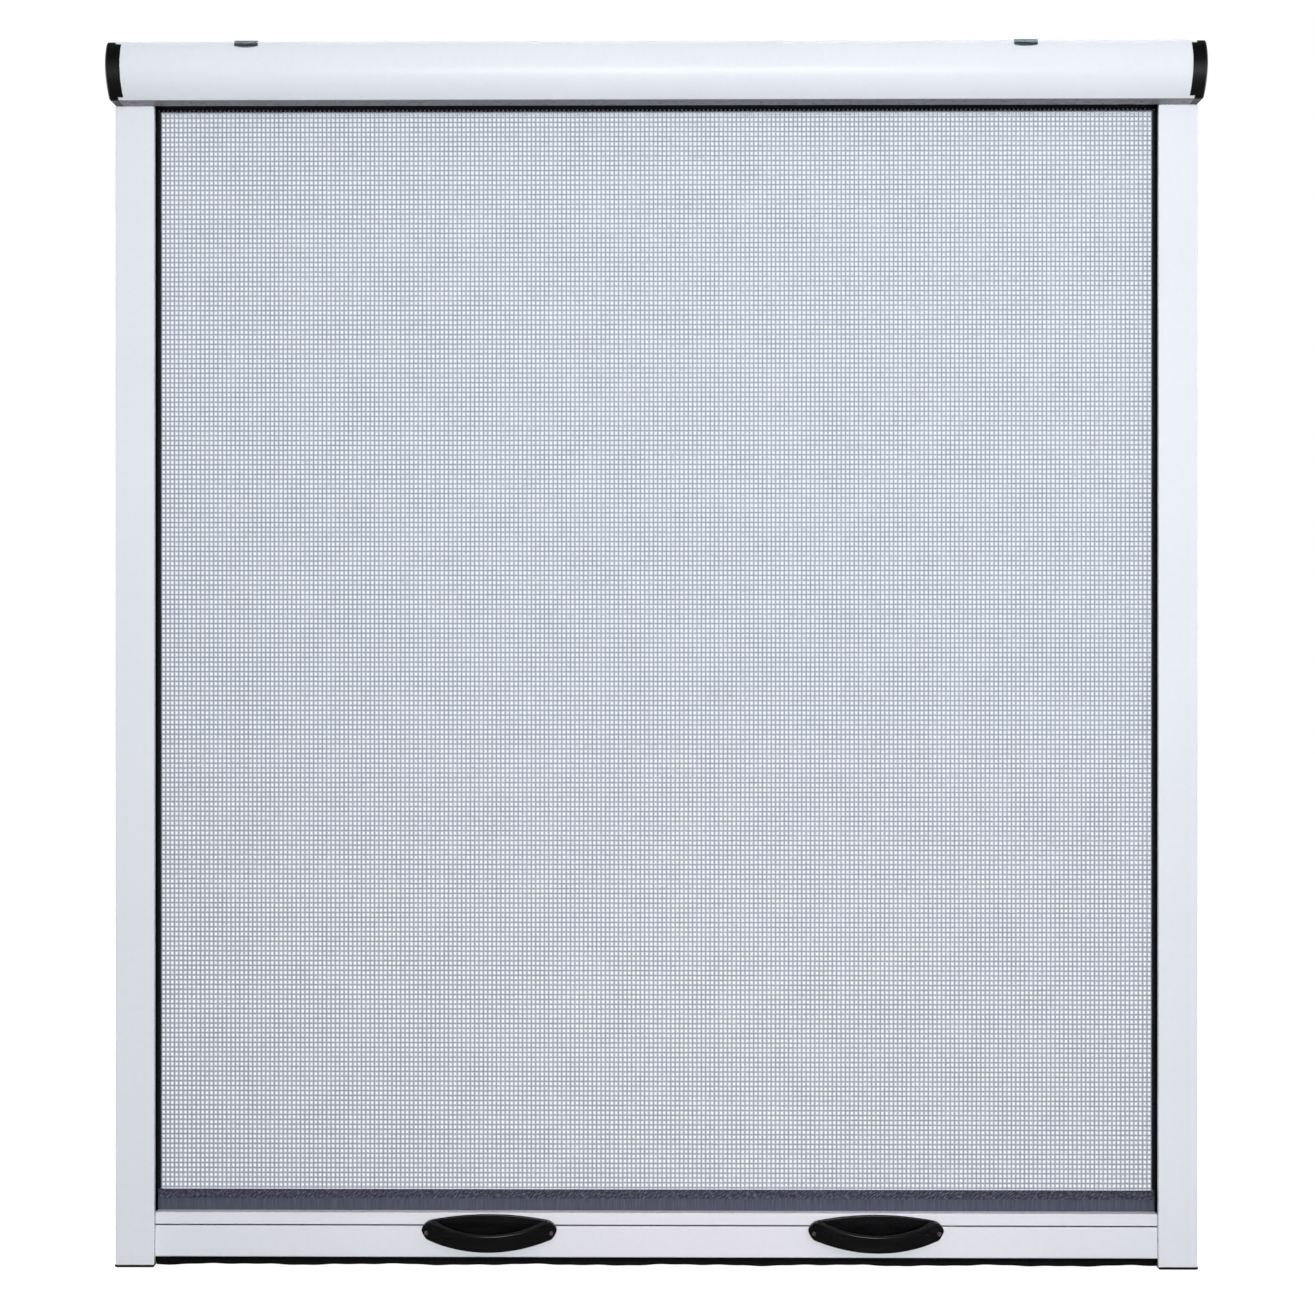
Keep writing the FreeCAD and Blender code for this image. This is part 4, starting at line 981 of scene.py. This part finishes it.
def handleCut(x, top, bottom, front, back, upperCorner, lowerCorner):
    # the handle's outline at x, as (y, z, radius) corners
    look = handleLook
    away = abs(x)
    if away <= look["shoulder"]:
        high = crown(x, look["shoulder"], top - look["shoulderDrop"], top)
    else:
        high = float(np.interp(away, upperCorner[:, 0], upperCorner[:, 1]))
    if away <= look["heel"]:
        low = crown(x, look["heel"], top - look["heelDrop"], bottom)
    else:
        low = float(np.interp(away, lowerCorner[:, 0], lowerCorner[:, 1]))
    face = crown(x, look["half"], back - look["endThickness"], front)
    inside = away < look["pocketHalf"]
    pocketBack = look["pocketEdge"]
    wall = crown(x, look["pocketHalf"], pocketBack, look["pocketFront"]) if inside else pocketBack
    slope = math.tan(math.radians(look["lipSlope"]))

    def lip(y):
        return min(bottom + look["lipHeight"] + (y - front) * slope, high)

    share = min(1.0, away / look["pocketHalf"])
    floor = lip(wall)
    if inside:
        base = bottom + look["floorRise"]
        floor = base + (lip(wall) - base) * share ** look["floorCurve"]
    floor = min(max(floor, low + look["floorWall"]), lip(wall))
    rear = high if inside else max(lip(pocketBack), floor)
    tuck = look["floorTuck"] * (inside and share < look["tuckShare"])
    tall = high - low
    radii = [min(r, tall / part) if part else r for r, part in zip(look["radii"], look["shrinks"])]
    places = ((back, low), (face, low), (face, lip(face)), (wall, lip(wall)),
              (wall + tuck, floor), (pocketBack, floor), (pocketBack, rear), (back, high))
    return [(y, z, radius) for (y, z), radius in zip(places, radii)]


def makeHandle(word):
    low, high = (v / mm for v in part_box(f"handle_{word}"))
    middle, front, back, bottom, top = (low.x + high.x) / 2, low.y, high.y, low.z, high.z
    look = handleLook
    half, stations, steps = look["half"], look["stations"], look["cornerSteps"]
    tip = (half, top - look["tipDrop"])
    shoulder = (look["shoulder"], top - look["shoulderDrop"])
    heel = (look["heel"], top - look["heelDrop"])
    upperCorner = np.array(arcPoints(tip, shoulder, look["tipRadius"], steps))[::-1]
    lowerCorner = np.array(arcPoints(heel, tip, look["heelRadius"], steps))
    points = []
    for i in range(stations):
        x = half * look["reach"] * math.sin(math.pi / 2 * (2 * i / (stations - 1) - 1))
        cut = rounded(handleCut(x, top, bottom, front, back, upperCorner, lowerCorner))
        points += [(middle + x, y, z) for y, z in cut]
    faces = tubeFaces(stations, len(cut))
    piece = meshPiece(f"handle_{word}_scoop", points, faces, handlePlastic)
    shape = bmesh.new()
    shape.from_mesh(piece.data)
    bmesh.ops.remove_doubles(shape, verts=shape.verts, dist=look["weld"])
    bmesh.ops.recalc_face_normals(shape, faces=shape.faces)
    shape.to_mesh(piece.data)
    shape.free()
    piece.data.polygons.foreach_set("use_smooth", [True] * len(piece.data.polygons))
    piece.data.set_sharp_from_angle(angle=math.radians(look["sharp"]))
    settle(piece, "bar", "black_plastic", f"handle_{word}")
    return middle, bottom


screwLook = {
    "radius": 1.7, "height": 0.9, "recess": 0.5,
    "arm": 0.62, "armHalf": 0.15,   # of the radius
    "taper": 0.85,   # the recess's floor, as a share of its mouth
    "rim": ((1.0, 0.0), (0.96, 0.6), (0.78, 1.0)),   # shares of the radius and of the height
    "rimDegrees": (-12, 12, 27, 45, 63),   # round each quarter
    "seat": -1.55, "turn": 0.35,   # mm from the bar's front plane, radians
}


def screwHead():
    # a pan head with a cross recess, standing along +Z
    radius, height, recess, taper = (screwLook[k] for k in ("radius", "height", "recess", "taper"))
    arm, armHalf = radius * screwLook["arm"], radius * screwLook["armHalf"]
    middle = (arm + armHalf) / 2
    corners = ((arm, -armHalf), (arm, armHalf), (middle, armHalf),
               (armHalf, armHalf), (armHalf, middle))
    edge, cross = [], []
    for quarter in range(4):
        c, s = round(math.cos(math.pi / 2 * quarter)), round(math.sin(math.pi / 2 * quarter))
        for degrees in screwLook["rimDegrees"]:
            angle = math.radians(90 * quarter + degrees)
            edge.append((math.cos(angle), math.sin(angle)))
        cross += [(c * x - s * y, s * x + c * y) for x, y in corners]
    rings = [[(radius * share * x, radius * share * y, height * up) for x, y in edge]
             for share, up in screwLook["rim"]]
    rings += [[(x, y, height) for x, y in cross],
              [(taper * x, taper * y, height - recess) for x, y in cross]]
    around, each = len(edge), len(corners)
    points = [p for ring in rings for p in ring]
    *walls, foot, lid = tubeFaces(len(rings), around)
    faces = [foot, *walls]
    # in place of the lid, the recess's floor: four arms and the square between them
    bed = (len(rings) - 1) * around
    for quarter in range(4):
        before = bed + each * ((quarter - 1) % 4)
        here = bed + each * quarter
        faces.append((before + 3, before + 4, here, here + 1, here + 2, here + 3))
    faces.append([bed + each * quarter + 3 for quarter in range(4)])
    return meshPiece("screwHead", points, faces, None, smooth=False)


def screwTree():
    # the same head at each seat, facing the front
    tree, given = nodeTree("handleScrews", {"Head": "Object", "Material": "Material"})
    head = addNode(tree, "GeometryNodeObjectInfo", links={"Object": (given, "Head")})
    seats = addNode(tree, "GeometryNodeInstanceOnPoints", links={
        "Points": (given, "Geometry"), "Instance": (head, "Geometry")})
    seats.inputs["Rotation"].default_value = Euler((math.radians(90), screwLook["turn"], 0))
    finishTree(tree, seats, given)
    return tree


screwPoints = []
for word in ("left", "right"):
    middle, bottom = makeHandle(word)
    for end in (-1, 1):
        screwPoints.append((middle + end * handleLook["screwPlace"], screwLook["seat"],
                            bottom + handleLook["screwHeight"]))
screwSeats = meshPiece("handleScrews", screwPoints, [], None)
headPiece = screwHead()
screws = useTree(screwSeats, screwTree(), {"Head": headPiece, "Material": screwSteel})
bpy.data.objects.remove(headPiece)
settle(screws, "bar", "zinc_plated_steel")
print("scene: handles and screws")
